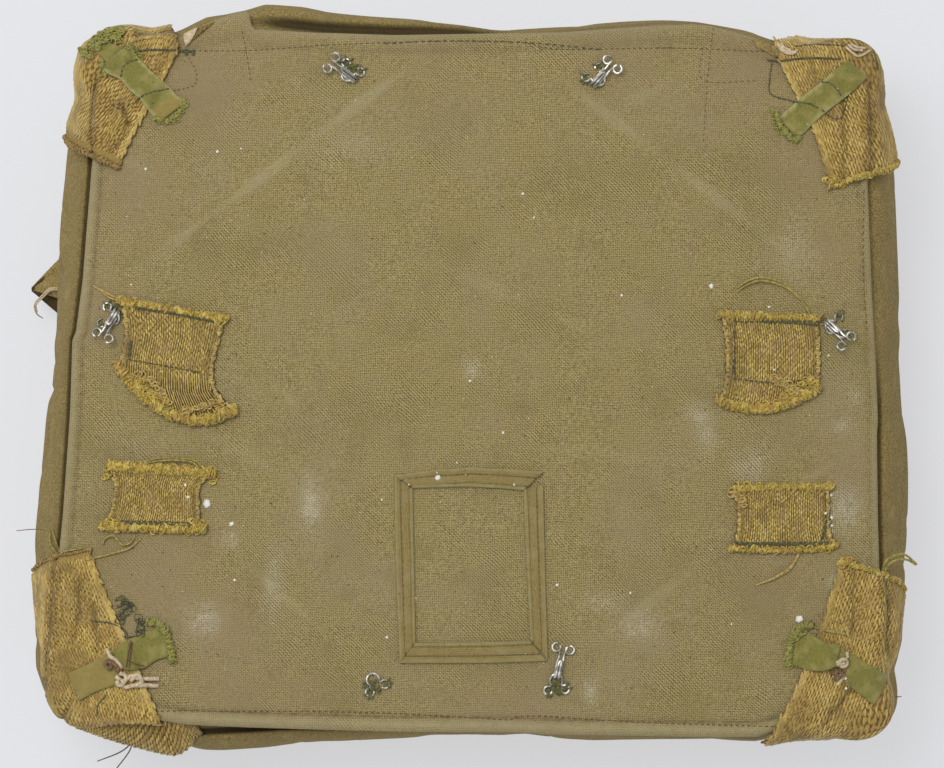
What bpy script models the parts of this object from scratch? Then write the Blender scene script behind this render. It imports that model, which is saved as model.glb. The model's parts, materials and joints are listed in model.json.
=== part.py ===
# Packed parachute, back face up: a filled canvas pack with its back panel, corner straps,
# keeper tapes, cut harness stubs, card frame, and wire hooks and eyes.
# Metres, +Z up. +X is the pack's right, +Y its far side, and z = 0 is the surface it rests on.

from collections import namedtuple
from math import cos, pi, radians, sin

import bmesh
import bpy
from mathutils import Matrix, Vector
from mathutils.bvhtree import BVHTree

MM = 0.001

# Driving sizes
RIM_HEIGHT = 102 * MM  # top edge of the walls above the surface
CROWN = 5 * MM  # how much higher the middle of the top face is
CLEARANCE = 0.3 * MM  # between neighbouring pieces
EDGE_CLEARANCE = 2.0 * MM  # where webbing folds over an edge
FOLD_CORNER = 20 * MM  # corner radius of the line that the webbing folds along
FOLD_INSET = 2 * MM  # from that line out to the panel's edge
FOLD_RADIUS = 5 * MM
FOLD_TURN = radians(84)  # how steeply the webbing goes down the wall
PANEL_THICKNESS = 1.5 * MM
WEBBING_WIDTH = 44 * MM
WEBBING_THICKNESS = 3 * MM
ROLL_THICKNESS = 4.6 * MM  # overcast end of a harness stub
TAPE_WIDTH = 13 * MM
TAPE_THICKNESS = 1.2 * MM
FRAME_THICKNESS = 1.6 * MM
WIRE = 1.0 * MM  # diameter
WIRE_STEP = WIRE + 2 * CLEARANCE  # between the middles of two wires that cross

FABRIC_ROUGHNESS = 0.9

# Panel edges in millimetres: where its left and right edges are at each y
Side = namedtuple("Side", "y left right")
SIDES = [
    Side(150, -172.5, 185.6),
    Side(102, -177.5, 184.8),
    Side(50, -181.4, 186.3),
    Side(-14, -187.0, 188.6),
    Side(-63, -190.0, 188.8),
    Side(-97, -193.0, 189.4),
    Side(-150, -196.2, 187.3),
]

# ... and where its far and near edges are at each x, with the tab that runs on over the far wall
End = namedtuple("End", "x far near tab")
ENDS = [
    End(-180, 157.0, -155.0, 0),
    End(-145, 158.0, -157.5, 0),
    End(-131, 163.0, -160.0, 0),
    End(-126, 164.0, -160.5, 2.0),
    End(-115, 164.5, -160.5, 5.5),
    End(-105, 165.0, -161.0, 8.0),
    End(-101, 165.0, -161.0, 0),
    End(-37, 162.5, -163.0, 0),
    End(17, 162.7, -163.3, 0),
    End(80, 165.5, -165.0, 0),
    End(112, 165.5, -165.5, 0),
    End(131, 161.5, -165.5, 0),
    End(150, 154.0, -161.5, 0),
    End(180, 150.5, -159.0, 0),
]

# Rows down the wall: height, and how far each wall stands out past the panel's edge, in millimetres
Row = namedtuple("Row", "height left right far near")
WALL = [
    Row(102, 2.0, 2.0, 2.0, 2.0),
    Row(90, 9.5, 10.5, 4.0, 3.5),
    Row(68, 16.0, 17.5, 6.5, 5.0),
    Row(42, 18.0, 19.5, 8.5, 6.0),
    Row(16, 13.0, 14.0, 5.5, 3.5),
    Row(0, -8.0, -8.0, -10.0, -10.0),
]

# Where the wall bows out further: side, row, middle, reach either way, and by how much, in millimetres
Bulge = namedtuple("Bulge", "side row middle before after out")
BULGES = [
    Bulge("far", 1, -95, 40, 115, 9.0),
    Bulge("far", 2, -95, 40, 115, 6.0),
    Bulge("near", 1, -124, 34, 180, 7.5),
    Bulge("near", 2, -124, 34, 180, 7.5),
    Bulge("left", 1, -130, 50, 55, -5.0),
    Bulge("left", 2, -130, 50, 55, -5.0),
    Bulge("left", 2, -60, 90, 60, 1.5),
    Bulge("right", 1, -130, 50, 50, -4.0),
    Bulge("right", 2, -130, 50, 50, -4.0),
    Bulge("right", 2, -30, 90, 90, 1.5),
]

# Soft high and low places of the top face: middle, reach and height, in millimetres
Lump = namedtuple("Lump", "x y reach height")
LUMPS = [
    Lump(-95, 70, 60, -0.9),
    Lump(20, 95, 70, 0.7),
    Lump(120, 60, 55, -0.7),
    Lump(-20, -10, 60, 0.8),
    Lump(-110, -90, 60, -0.8),
    Lump(95, -95, 60, 0.6),
    Lump(150, -20, 50, 0.5),
    Lump(-40, 150, 35, -0.8),
]

# Corner straps: inner corner of the cut end, the way the strap runs from there, its length, how much
# longer its outer selvage is at the cut, and the side (-1 left, 1 right) that this selvage is on
Strap = namedtuple("Strap", "name x y heading length skew side")
STRAPS = [
    Strap("corner_strap_far_left", -163, 98, 63.8, 79, 0, -1),
    Strap("corner_strap_far_right", 166, 91, 113.0, 79, 11, 1),
    Strap("corner_strap_near_left", -176.5, -80, -65.7, 122, 5, -1),
    Strap("corner_strap_near_right", 171, -85, -113.6, 94, 0, 1),
]

# Keeper tapes: a row for each bend, with the lift of an arched stretch, in millimetres
Bend = namedtuple("Bend", "x y lift")
TAPES = {
    "keeper_tape_far_left": [Bend(-170, 158, 0.4), Bend(-152, 138.5, 1.6), Bend(-138.5, 124, 0)],
    "keeper_tape_far_right": [Bend(178.5, 145, 0), Bend(162, 132, 0.8), Bend(145.5, 119, 0)],
    "keeper_tape_near_left": [Bend(-184, -142, 0), Bend(-166, -133.5, 1.5), Bend(-142, -122, 0)],
    "keeper_tape_near_right": [Bend(189, -145, 0), Bend(172, -133, 1.5), Bend(148, -122, 0)],
}

# Harness stubs: rows from the far end to the near end, with the near sag of each row's middle
StubRow = namedtuple("StubRow", "left_x left_y right_x right_y sag")
STUBS = {
    "harness_stub_left_far": [
        StubRow(-163.5, 37.0, -114.5, 28.0, 0),
        StubRow(-161.5, 22.0, -117.0, 18.0, 0),
        StubRow(-163.5, 11.5, -120.0, 6.0, 0.5),
        StubRow(-165.5, 9.0, -120.0, -4.0, 7),
        StubRow(-167.0, 6.5, -112.0, -15.0, 14),
    ],
    "harness_stub_left_near": [
        StubRow(-168.0, -40.0, -120.5, -43.0, 0),
        StubRow(-166.0, -49.0, -126.0, -49.5, 0),
        StubRow(-167.5, -60.0, -126.0, -61.0, 0),
        StubRow(-171.5, -68.0, -125.0, -69.0, 0),
    ],
    "harness_stub_right_far": [
        StubRow(115.0, 32.0, 162.0, 30.0, 0),
        StubRow(117.5, 17.0, 162.0, 16.0, 0),
        StubRow(117.5, 2.0, 162.0, 1.0, 0.5),
        StubRow(115.0, -9.5, 161.0, -8.0, 5.5),
    ],
    "harness_stub_right_near": [
        StubRow(121.0, -50.0, 167.0, -49.0, 0),
        StubRow(122.5, -59.0, 166.0, -59.0, 0),
        StubRow(122.5, -69.0, 166.0, -69.0, 0),
        StubRow(120.0, -78.0, 169.0, -77.5, 1.5),
    ],
}

# Card frame: its outer and inner edges, in millimetres
FRAME_X = [-35.5, -26.4, -9.0, 8.5, 25.5, 34.0]
FRAME_Y = [-130.0, -122.0, -98.0, -75.0, -51.0, -43.5]
FRAME_BOW = 2.0 * MM  # rise of the middle of its far edge

# Wire fastenings: middle of the eye's large lobe, and the ways that the lobe and the hook point
Fastening = namedtuple("Fastening", "name x y eye_heading hook_heading")
FASTENINGS = [
    Fastening("far_left", -57.9, 142.6, -124, -35),
    Fastening("far_right", 59.0, 140.4, -52, -134),
    Fastening("left", -167.0, 28.8, -21, 62),
    Fastening("right", 167.2, 24.7, 192, 134),
    Fastening("near_middle", 38.8, -139.2, 94, -103),
    Fastening("near_left", -45.8, -138.9, 118, None),
]
LOBE = 3.0 * MM  # radius of an eye's large lobe
LOBE_REACH = 4.3 * MM  # from the eye's base to the middle of that lobe
SIDE_LOOP = 2.0 * MM
SIDE_SPREAD = 3.9 * MM
HOOK_LENGTH = 14.0 * MM  # front to the middles of the tail loops
TAIL_LOOP = 2.1 * MM
TAIL_SPREAD = 3.2 * MM
BILL_LENGTH = 8.6 * MM
BEND = WIRE_STEP  # radius of the hook's front, half the step from the shanks up to the bill

# Flap corner that sticks out of the left wall, in millimetres
FLAP_TIP = Vector((-214, 49, 20)) * MM
FLAP_FAR_ROOT = Vector((-198.5, 66, 24)) * MM
FLAP_TOP_ROOT = Vector((-200.5, 42, 25)) * MM
FLAP_NEAR_ROOT = Vector((-201.5, 29, 13)) * MM


# ---------------------------------------------------------------- helpers


def start_clean():
    for item in list(bpy.data.objects):
        bpy.data.objects.remove(item, do_unlink=True)
    collection = bpy.data.collections.new("packed_parachute")
    bpy.context.scene.collection.children.link(collection)
    return collection


def make_material(name, colour, roughness=FABRIC_ROUGHNESS, metallic=0.0):
    material = bpy.data.materials.new(name)
    material.use_nodes = True
    surface = material.node_tree.nodes["Principled BSDF"]
    surface.inputs["Base Color"].default_value = (*colour, 1)
    surface.inputs["Roughness"].default_value = roughness
    surface.inputs["Metallic"].default_value = metallic
    material.diffuse_color = (*colour, 1)
    return material


def add_object(collection, name, bm, material):
    mesh = bpy.data.meshes.new(name)
    bm.to_mesh(mesh)
    bm.free()
    mesh.shade_smooth()
    item = bpy.data.objects.new(name, mesh)
    item.data.materials.append(material)
    collection.objects.link(item)
    return item


def solidify(item, thickness, group=None, even=True):
    skin = item.modifiers.new("Thickness", "SOLIDIFY")
    skin.thickness = thickness
    skin.offset = 1
    skin.use_even_offset = even
    if group:
        skin.vertex_group = group
        skin.thickness_vertex_group = WEBBING_THICKNESS / ROLL_THICKNESS
    return skin


def surface_of(item):
    """The evaluated surface, for laying the next piece on it."""
    return BVHTree.FromObject(item, bpy.context.evaluated_depsgraph_get())


def between(a, b, t):
    return a + (b - a) * t


def read_row(rows, key, value, column):
    """A column of a table read between its rows, which are sorted by key."""
    rows = sorted(rows, key=lambda row: getattr(row, key))
    value = min(max(value, getattr(rows[0], key)), getattr(rows[-1], key))
    for low, high in zip(rows, rows[1:]):
        if value <= getattr(high, key):
            t = (value - getattr(low, key)) / (getattr(high, key) - getattr(low, key))
            return between(getattr(low, column), getattr(high, column), t)


def gather(t):
    """Shifts evenly spaced values from -1 to 1 towards the ends, where the shape turns."""
    return 0.45 * t + 0.55 * sin(pi / 2 * t)


def round_corner(u, v, sharpness):
    """Pulls the corners of the square from -1 to 1 in, and leaves its sides."""
    most = max(abs(u), abs(v))
    if most == 0:
        return u, v
    scale = most / (abs(u) ** sharpness + abs(v) ** sharpness) ** (1 / sharpness)
    return u * scale, v * scale


def face_point(u, v, out=0.0):
    """Plan position, in metres, of the face's (u, v), with its edges moved out."""
    y = between(-160, 163, (v + 1) / 2)
    left = read_row(SIDES, "y", y, "left") - out
    right = read_row(SIDES, "y", y, "right") + out
    x = between(left, right, (u + 1) / 2)
    far = read_row(ENDS, "x", x, "far") + out
    near = read_row(ENDS, "x", x, "near") - out
    return x * MM, between(near, far, (v + 1) / 2) * MM


def top_height(x, y):
    """Height of the pack's top face at a plan position."""
    u, v = x / (190 * MM), y / (165 * MM)
    crown = CROWN * max(0, 1 - u**4) * max(0, 1 - v**4)
    lumps = sum(
        k.height * MM * max(0, 1 - ((x / MM - k.x) ** 2 + (y / MM - k.y) ** 2) / k.reach**2) ** 2
        for k in LUMPS
    )
    return RIM_HEIGHT + crown + lumps


def ease(t):
    t = min(max(t, 0), 1)
    return t * t * (3 - 2 * t)


def surface_height(x, y, surfaces, reach=0.0):
    """The highest point of the surfaces at a plan position, or within reach of it."""
    spots = [(0, 0)] + [(cos(k * pi / 4), sin(k * pi / 4)) for k in range(8)] * (reach > 0)
    heights = []
    for across, along in spots:
        start = Vector((x + across * reach, y + along * reach, 2 * RIM_HEIGHT))
        for surface in surfaces:
            hit = surface.ray_cast(start, Vector((0, 0, -1)))[0]
            if hit:
                heights.append(hit.z)
    return max(heights, default=top_height(x, y))


# ---------------------------------------------------------------- pack body


def cut_across(bm, axis, cuts):
    edges = [e for e in bm.edges if abs((e.verts[1].co - e.verts[0].co).normalized()[axis]) > 0.99]
    bmesh.ops.subdivide_edges(bm, edges=edges, cuts=cuts, use_grid_fill=True)


def wall_out(side, along, row):
    """How far the wall stands out at a row, with its bulges, in millimetres."""
    out = getattr(WALL[row], side)
    for b in BULGES:
        if b.side == side and b.row == row:
            away = along - b.middle
            share = away / (b.after if away > 0 else b.before)
            out += b.out * max(0, 1 - share * share)
    return out


def body_point(u, v, row):
    """A point of the body's cage: u and v are across the face, row is down the wall."""
    u, v = round_corner(gather(u), gather(v), 11)
    edge = max(abs(u), abs(v))
    x, y = face_point(u, v)
    sides = {
        "left" if u < 0 else "right": (abs(u) ** 14, y / MM),
        "near" if v < 0 else "far": (abs(v) ** 14, x / MM),
    }
    total = sum(weight for weight, _ in sides.values()) or 1
    out = sum(weight * wall_out(side, along, row) for side, (weight, along) in sides.items()) / total
    x, y = face_point(u, v, out * edge**4)
    if row == 0:
        return Vector((x, y, top_height(x, y)))
    return Vector((x, y, WALL[row].height * MM))


def build_body(collection, material):
    across, along = 11, 10
    bm = bmesh.new()
    bmesh.ops.create_cube(bm, size=2)
    cut_across(bm, 0, across - 1)
    cut_across(bm, 1, along - 1)
    cut_across(bm, 2, len(WALL) - 2)
    for vertex in bm.verts:
        u, v, w = vertex.co
        row = round((1 - w) / 2 * (len(WALL) - 1))
        vertex.co = body_point(u, v, row)
    body = add_object(collection, "pack_body", bm, material)
    smooth = body.modifiers.new("Soft", "SUBSURF")
    smooth.levels = smooth.render_levels = 1
    return body


# ---------------------------------------------------------------- panel, frame and stubs


def grid(across, along, place):
    """A grid of quads, facing up, with each point placed by a function of (u, v) from -1 to 1."""
    bm = bmesh.new()
    bmesh.ops.create_grid(bm, x_segments=across, y_segments=along, size=1)
    for vertex in bm.verts:
        vertex.co = place(vertex.co.x, vertex.co.y)
    return bm


def build_panel(collection, material, body):
    def place(u, v):
        u, v = round_corner(gather(u), gather(v), 16)
        x, y = face_point(u, v)
        y += read_row(ENDS, "x", x / MM, "tab") * MM * max(0, v) ** 8
        lift = CLEARANCE * (1.6 + 1.8 * max(abs(u), abs(v)) ** 8)
        return Vector((x, y, surface_height(x, y, [body], 4 * MM) + lift))

    panel = add_object(collection, "back_panel", grid(24, 20, place), material)
    solidify(panel, PANEL_THICKNESS)
    return panel


def build_frame(collection, material, under):
    columns, rows = len(FRAME_X) - 1, len(FRAME_Y) - 1

    def place(u, v):
        i, j = round((u + 1) / 2 * columns), round((v + 1) / 2 * rows)
        x, y = FRAME_X[i] * MM, FRAME_Y[j] * MM
        y += FRAME_BOW * sin(pi * i / columns) * (j / rows) ** 4
        return Vector((x, y, surface_height(x, y, under, 2 * MM) + CLEARANCE))

    bm = grid(columns, rows, place)
    inside = [
        face
        for face in bm.faces
        if FRAME_X[1] * MM < face.calc_center_median().x < FRAME_X[-2] * MM
        and FRAME_Y[1] * MM < face.calc_center_median().y < FRAME_Y[-2] * MM
    ]
    bmesh.ops.delete(bm, geom=inside, context="FACES")
    frame = add_object(collection, "card_frame", bm, material)
    solidify(frame, FRAME_THICKNESS)
    return frame


def build_stub(collection, name, rows, material, under):
    def place(u, v):
        rank = (1 - v) / 2 * (len(rows) - 1)
        high = min(int(rank), len(rows) - 2)
        a, b = rows[high], rows[high + 1]
        row = StubRow(*(between(p, q, rank - high) for p, q in zip(a, b)))
        x = between(row.left_x, row.right_x, (u + 1) / 2) * MM
        y = between(row.left_y, row.right_y, (u + 1) / 2) * MM - row.sag * MM * (1 - u * u)
        return Vector((x, y, surface_height(x, y, under, 2 * MM) + CLEARANCE))

    segments = 2 * (len(rows) - 1)
    bm = grid(6, segments, place)
    stub = add_object(collection, name, bm, material)
    ends = stub.vertex_groups.new(name="ends")
    for index in range(len(stub.data.vertices)):
        at_end = index // 7 in (0, segments)
        ends.add([index], 1.0 if at_end else 0.0, "REPLACE")
    solidify(stub, ROLL_THICKNESS, "ends")
    return stub


# ---------------------------------------------------------------- corner straps and keeper tapes


def wall_reach(middle, outward, surfaces):
    """How far the surfaces reach from a middle point, looked at sideways at about its height."""
    reaches = [0.0]
    for shift in (-6 * MM, -3 * MM, 0.0, 3 * MM, 6 * MM):
        start = middle + outward * 0.1 + Vector((0, 0, shift))
        for surface in surfaces:
            hit = surface.ray_cast(start, -outward)[0]
            if hit:
                reaches.append((hit - middle).dot(outward))
    return max(reaches)


def fold_over(x, y, under):
    """Lays a plan position of flat webbing on the face, and down the wall past the face's edge."""
    edge_left = read_row(SIDES, "y", y / MM, "left") * MM + FOLD_INSET
    edge_right = read_row(SIDES, "y", y / MM, "right") * MM - FOLD_INSET
    inner_x = min(max(x, edge_left + FOLD_CORNER), edge_right - FOLD_CORNER)
    edge_far = read_row(ENDS, "x", inner_x / MM, "far") * MM - FOLD_INSET
    edge_near = read_row(ENDS, "x", inner_x / MM, "near") * MM + FOLD_INSET
    inner_y = min(max(y, edge_near + FOLD_CORNER), edge_far - FOLD_CORNER)
    away = Vector((x - inner_x, y - inner_y, 0))
    past = away.length - FOLD_CORNER
    if past <= 0:
        lift = between(CLEARANCE, EDGE_CLEARANCE, ease(1 + past / FOLD_CORNER))
        return Vector((x, y, surface_height(x, y, under, 4 * MM) + lift))
    outward = away.normalized()
    turn = min(past / FOLD_RADIUS, FOLD_TURN)
    rest = past - turn * FOLD_RADIUS
    out = FOLD_CORNER + FOLD_RADIUS * sin(turn) + rest * cos(FOLD_TURN)
    drop = FOLD_RADIUS * (1 - cos(turn)) + rest * sin(FOLD_TURN)
    rim = Vector((inner_x, inner_y, 0)) + outward * FOLD_CORNER
    middle = Vector((inner_x, inner_y, surface_height(rim.x, rim.y, under, 4 * MM) + EDGE_CLEARANCE - drop))
    out = max(out, wall_reach(middle, outward, under) + EDGE_CLEARANCE)
    return middle + outward * out


def build_strap(collection, strap, material, body, panel):
    heading = Vector((cos(radians(strap.heading)), sin(radians(strap.heading)), 0))
    sideways = Vector((-heading.y, heading.x, 0))
    if sideways.x * strap.side < 0:
        sideways = -sideways
    start = Vector((strap.x, strap.y, 0)) * MM
    flip = 1 if heading.cross(sideways).z > 0 else -1

    def place(u, v):
        share = (v * flip + 1) / 2
        width = WEBBING_WIDTH * share
        run = between(-strap.skew * share, strap.length, (u + 1) / 2) * MM
        flat = start + heading * run + sideways * width
        return fold_over(flat.x, flat.y, [body, panel])

    item = add_object(collection, strap.name, grid(17, 8, place), material)
    ease_out = item.modifiers.new("Ease", "SMOOTH")
    ease_out.factor, ease_out.iterations = 0.5, 2
    solidify(item, WEBBING_THICKNESS, even=False)
    return item


def build_tape(collection, name, bends, material, under):
    segments = 10

    def place(u, v):
        rank = (u + 1) / 2 * (len(bends) - 1)
        low = min(int(rank), len(bends) - 2)
        a, b = bends[low], bends[low + 1]
        x, y = between(a.x, b.x, rank - low) * MM, between(a.y, b.y, rank - low) * MM
        lift = between(a.lift, b.lift, rank - low) * MM
        whole = Vector((bends[-1].x - bends[0].x, bends[-1].y - bends[0].y, 0)).normalized()
        x, y = x - whole.y * v * TAPE_WIDTH / 2, y + whole.x * v * TAPE_WIDTH / 2
        return Vector((x, y, surface_height(x, y, under, 4 * MM) + 1.5 * CLEARANCE + lift))

    item = add_object(collection, name, grid(segments, 2, place), material)
    solidify(item, TAPE_THICKNESS)
    return item


# ---------------------------------------------------------------- wires


def arc(middle, radius, first, last, steps):
    """Points of an arc in plan, from one angle to another, in degrees."""
    turns = [radians(between(first, last, k / steps)) for k in range(steps + 1)]
    return [Vector((middle[0] + radius * cos(t), middle[1] + radius * sin(t), 0)) for t in turns]


def eye_route(raised):
    """Middle line of an eye: a side loop, the large lobe and the other side loop."""
    left = arc((-SIDE_SPREAD, 0), SIDE_LOOP, -15, -305, 9)
    lobe = arc((0, LOBE_REACH), LOBE, 220, -40, 10)
    right = [Vector((-p.x, p.y, p.z)) for p in reversed(left)]
    route = left + lobe + right
    for point in route:
        point.z = raised(point)
    return route


def hook_route():
    """Middle line of a hook, with its front at the origin and its tail towards -x."""
    loop = arc((-HOOK_LENGTH, TAIL_SPREAD), TAIL_LOOP, -150, 195, 9)
    loop = [p for p in reversed(loop)]
    shank = [Vector((-HOOK_LENGTH + x * MM, y * MM, 0)) for x, y in ((2.4, 0.85), (5.0, 1.25), (9.5, 1.45))]
    front = []
    for k in range(5):
        turn = k / 4 * pi
        y = between(1.3, 0.68, k / 4) * MM
        front.append(Vector((-BEND + BEND * sin(turn), y, BEND * (1 - cos(turn)))))
    bill = [Vector((-x * MM, 0.66 * MM, 2 * BEND)) for x in (4.5, 7.6)]
    tip = [Vector((-BILL_LENGTH, 0, 2 * BEND))]
    half = loop + shank + front + bill
    return half + tip + [Vector((p.x, -p.y, p.z)) for p in reversed(half)]


def build_wire(collection, name, route, material):
    curve = bpy.data.curves.new(name, "CURVE")
    curve.dimensions = "3D"
    curve.bevel_depth = WIRE / 2
    curve.bevel_resolution = 1
    curve.use_fill_caps = True
    line = curve.splines.new("POLY")
    line.points.add(len(route) - 1)
    for point, place in zip(line.points, route):
        point.co = (*place, 1)
    curve.materials.append(material)
    item = bpy.data.objects.new(name, curve)
    collection.objects.link(item)
    return item


def lay_wire(route, heading, x, y, under):
    """Turns a flat route and stands each of its points on the panel at its place."""
    turn = Matrix.Rotation(radians(heading), 3, "Z")
    laid = [turn @ p + Vector((x, y, 0)) for p in route]
    for point in laid:
        point.z += surface_height(point.x, point.y, under, WIRE) + CLEARANCE + WIRE / 2
    return laid


def build_fastening(collection, fastening, material, under):
    x, y = fastening.x * MM, fastening.y * MM
    hook = fastening.hook_heading
    swing = None if hook is None else radians(hook - fastening.eye_heading)
    across = hook is not None and abs(cos(swing)) < 0.7

    def raised(point):
        """An eye lies flat, but for the wire of its lobe that a hook holds up."""
        if hook is None:
            return 0.0
        if across:
            ahead = -sin(swing) * point.x + cos(swing) * (point.y - LOBE_REACH)
            share = 1.2 * ease((ahead / LOBE + 0.3) / 1.1) * ease(point.y / (2.5 * MM))
        else:
            share = min(max(point.y / (LOBE_REACH + LOBE), 0), 1)
        return WIRE_STEP * share

    eye = [p - Vector((0, LOBE_REACH, 0)) for p in eye_route(raised)]
    eye = lay_wire(eye, fastening.eye_heading - 90, x, y, under)
    build_wire(collection, "eye_" + fastening.name, eye, material)
    if hook is None:
        return
    front = LOBE + BEND if across else BEND + CLEARANCE - LOBE
    tilt = -WIRE_STEP / (2 * LOBE) if across else 0.0
    route = [p + Vector((front, 0, 0)) for p in hook_route()]
    route = [p + Vector((0, 0, (p.x - LOBE - BEND) * tilt)) for p in route]
    hook_line = lay_wire(route, hook, x, y, under)
    build_wire(collection, "hook_" + fastening.name, hook_line, material)


# ---------------------------------------------------------------- flap corner


def build_flap_corner(collection, material, body):
    """A folded cloth corner: an upper and a lower layer that share the far fold and the tip."""
    steps = 4

    def place(u, v):
        out = (u + 1) / 2
        roots = [FLAP_NEAR_ROOT, FLAP_FAR_ROOT, FLAP_TOP_ROOT]
        rank = (v + 1) / 2 * 2
        low = min(int(rank), 1)
        root = roots[low].lerp(roots[low + 1], rank - low)
        near, normal, _, _ = body.find_nearest(root)
        root = near + normal * CLEARANCE * 2
        tip = FLAP_TIP + (root - FLAP_FAR_ROOT) * 0.12
        bow = Vector((0, 0, 0.6 * MM)) * sin(pi * out) * (1 if v > 0 else -1)
        return root.lerp(tip, out) + bow

    flap = add_object(collection, "flap_corner", grid(steps, 4, place), material)
    solidify(flap, PANEL_THICKNESS)
    return flap


# ---------------------------------------------------------------- the whole pack


def main():
    collection = start_clean()
    canvas = make_material("cotton duck, wall", (0.30, 0.235, 0.12))
    face = make_material("cotton duck, back", (0.24, 0.20, 0.105))
    webbing = make_material("cotton webbing", (0.36, 0.25, 0.07))
    tape = make_material("cotton tape, green", (0.23, 0.25, 0.06))
    binding = make_material("cotton tape, olive", (0.23, 0.185, 0.075))
    wire = make_material("nickel-plated wire", (0.55, 0.54, 0.5), 0.3, 1.0)

    body = surface_of(build_body(collection, canvas))
    panel = surface_of(build_panel(collection, face, body))
    under = [body, panel]
    build_flap_corner(collection, canvas, body)
    build_frame(collection, binding, under)
    for name, rows in STUBS.items():
        build_stub(collection, name, rows, webbing, under)
    straps = [surface_of(build_strap(collection, s, webbing, body, panel)) for s in STRAPS]
    for name, bends in TAPES.items():
        build_tape(collection, name, bends, tape, under + straps)
    for fastening in FASTENINGS:
        build_fastening(collection, fastening, wire, under)


main()
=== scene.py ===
import json
import math

import bmesh
import bpy
import numpy as np
from mathutils import Matrix, Vector, noise
from mathutils.bvhtree import BVHTree

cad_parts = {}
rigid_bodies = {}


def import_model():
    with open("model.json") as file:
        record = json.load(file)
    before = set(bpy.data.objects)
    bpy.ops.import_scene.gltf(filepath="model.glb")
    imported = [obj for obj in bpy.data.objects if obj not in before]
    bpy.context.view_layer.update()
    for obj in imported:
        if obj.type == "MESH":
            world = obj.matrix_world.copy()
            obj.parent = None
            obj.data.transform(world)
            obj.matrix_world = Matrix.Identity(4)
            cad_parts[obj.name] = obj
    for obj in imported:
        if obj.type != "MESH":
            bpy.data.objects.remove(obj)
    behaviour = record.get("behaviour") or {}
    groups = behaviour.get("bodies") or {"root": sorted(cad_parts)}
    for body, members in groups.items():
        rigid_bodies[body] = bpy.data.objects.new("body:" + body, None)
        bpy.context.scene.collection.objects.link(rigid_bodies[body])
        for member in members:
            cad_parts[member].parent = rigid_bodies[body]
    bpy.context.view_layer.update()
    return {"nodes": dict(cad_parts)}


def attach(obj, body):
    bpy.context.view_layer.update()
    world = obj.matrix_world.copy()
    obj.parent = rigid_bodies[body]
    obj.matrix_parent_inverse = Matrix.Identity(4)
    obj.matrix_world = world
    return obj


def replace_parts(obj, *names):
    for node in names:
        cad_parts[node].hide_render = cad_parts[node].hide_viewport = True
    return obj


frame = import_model()
nodes = frame["nodes"]
mm = 0.001
scene = bpy.context.scene


def linear(hexCode):
    parts = [int(hexCode[i:i + 2], 16) / 255 for i in (1, 3, 5)]
    return (*[c / 12.92 if c <= 0.04045 else ((c + 0.055) / 1.055) ** 2.4 for c in parts], 1)


def addNode(tree, kind, inputs=None, **settings):
    # Adds one node of any tree and returns its first output.
    node = tree.nodes.new(kind)
    for key, value in settings.items():
        setattr(node, key, value)
    for key, value in (inputs or {}).items():
        if isinstance(value, bpy.types.NodeSocket):
            tree.links.new(value, node.inputs[key])
        else:
            node.inputs[key].default_value = value
    return node.outputs[0] if node.outputs else node


# ---- camera, floor and light

stageSizes = {
    "elevation": 87,  # degrees above the horizon
    "distance": 1600,
    "lens": 131.5,
    "aim": (0, -2, 110),
    "floorHex": "#8c8d91",
    "floorGlow": 0.545,  # the table is lit from below as well, so it stays pale beside the pack
    "skyShare": 0.52,  # of the light on a flat surface
    "keyWatts": 17.6,
    "keyPlace": (-430, 400, 1800),
    "keyWidth": 800,
}


def buildStage(sizes):
    camera = bpy.data.objects.new("camera", bpy.data.cameras.new("camera"))
    scene.collection.objects.link(camera)
    rise = math.radians(sizes["elevation"])
    back = Vector((0, -math.cos(rise), math.sin(rise)))
    camera.location = Vector(sizes["aim"]) * mm + back * sizes["distance"] * mm
    camera.rotation_euler = (math.pi / 2 - rise, 0, 0)
    camera.data.lens = sizes["lens"]
    camera.data.clip_start, camera.data.clip_end = 0.05, 50
    scene.camera = camera

    bpy.ops.mesh.primitive_plane_add(size=8, location=(0, 0, -0.0005))
    floor = bpy.context.object
    floor.name = "floor"
    paper = bpy.data.materials.new("matt paper")
    paper.use_nodes = True
    shader = paper.node_tree.nodes["Principled BSDF"]
    shader.inputs["Base Color"].default_value = linear(sizes["floorHex"])
    shader.inputs["Roughness"].default_value = 0.9
    shader.inputs["Specular IOR Level"].default_value = 0.2
    shader.inputs["Emission Color"].default_value = (0.975, 0.98, 1.0, 1)
    shader.inputs["Emission Strength"].default_value = sizes["floorGlow"]
    floor.data.materials.append(paper)

    world = bpy.data.worlds.new("studio")
    world.use_nodes = True
    world.node_tree.nodes["Background"].inputs["Color"].default_value = (0.97, 0.985, 1.0, 1)
    world.node_tree.nodes["Background"].inputs["Strength"].default_value = sizes["skyShare"]
    scene.world = world

    key = bpy.data.objects.new("key", bpy.data.lights.new("key", "AREA"))
    scene.collection.objects.link(key)
    key.data.energy = sizes["keyWatts"]
    key.data.size = sizes["keyWidth"] * mm
    key.location = Vector(sizes["keyPlace"]) * mm
    key.rotation_euler = (-key.location).to_track_quat("-Z", "Y").to_euler()
    scene.view_settings.view_transform = "Standard"


buildStage(stageSizes)
print("stage: camera, floor and light are in place")

# ---- materials

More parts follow.
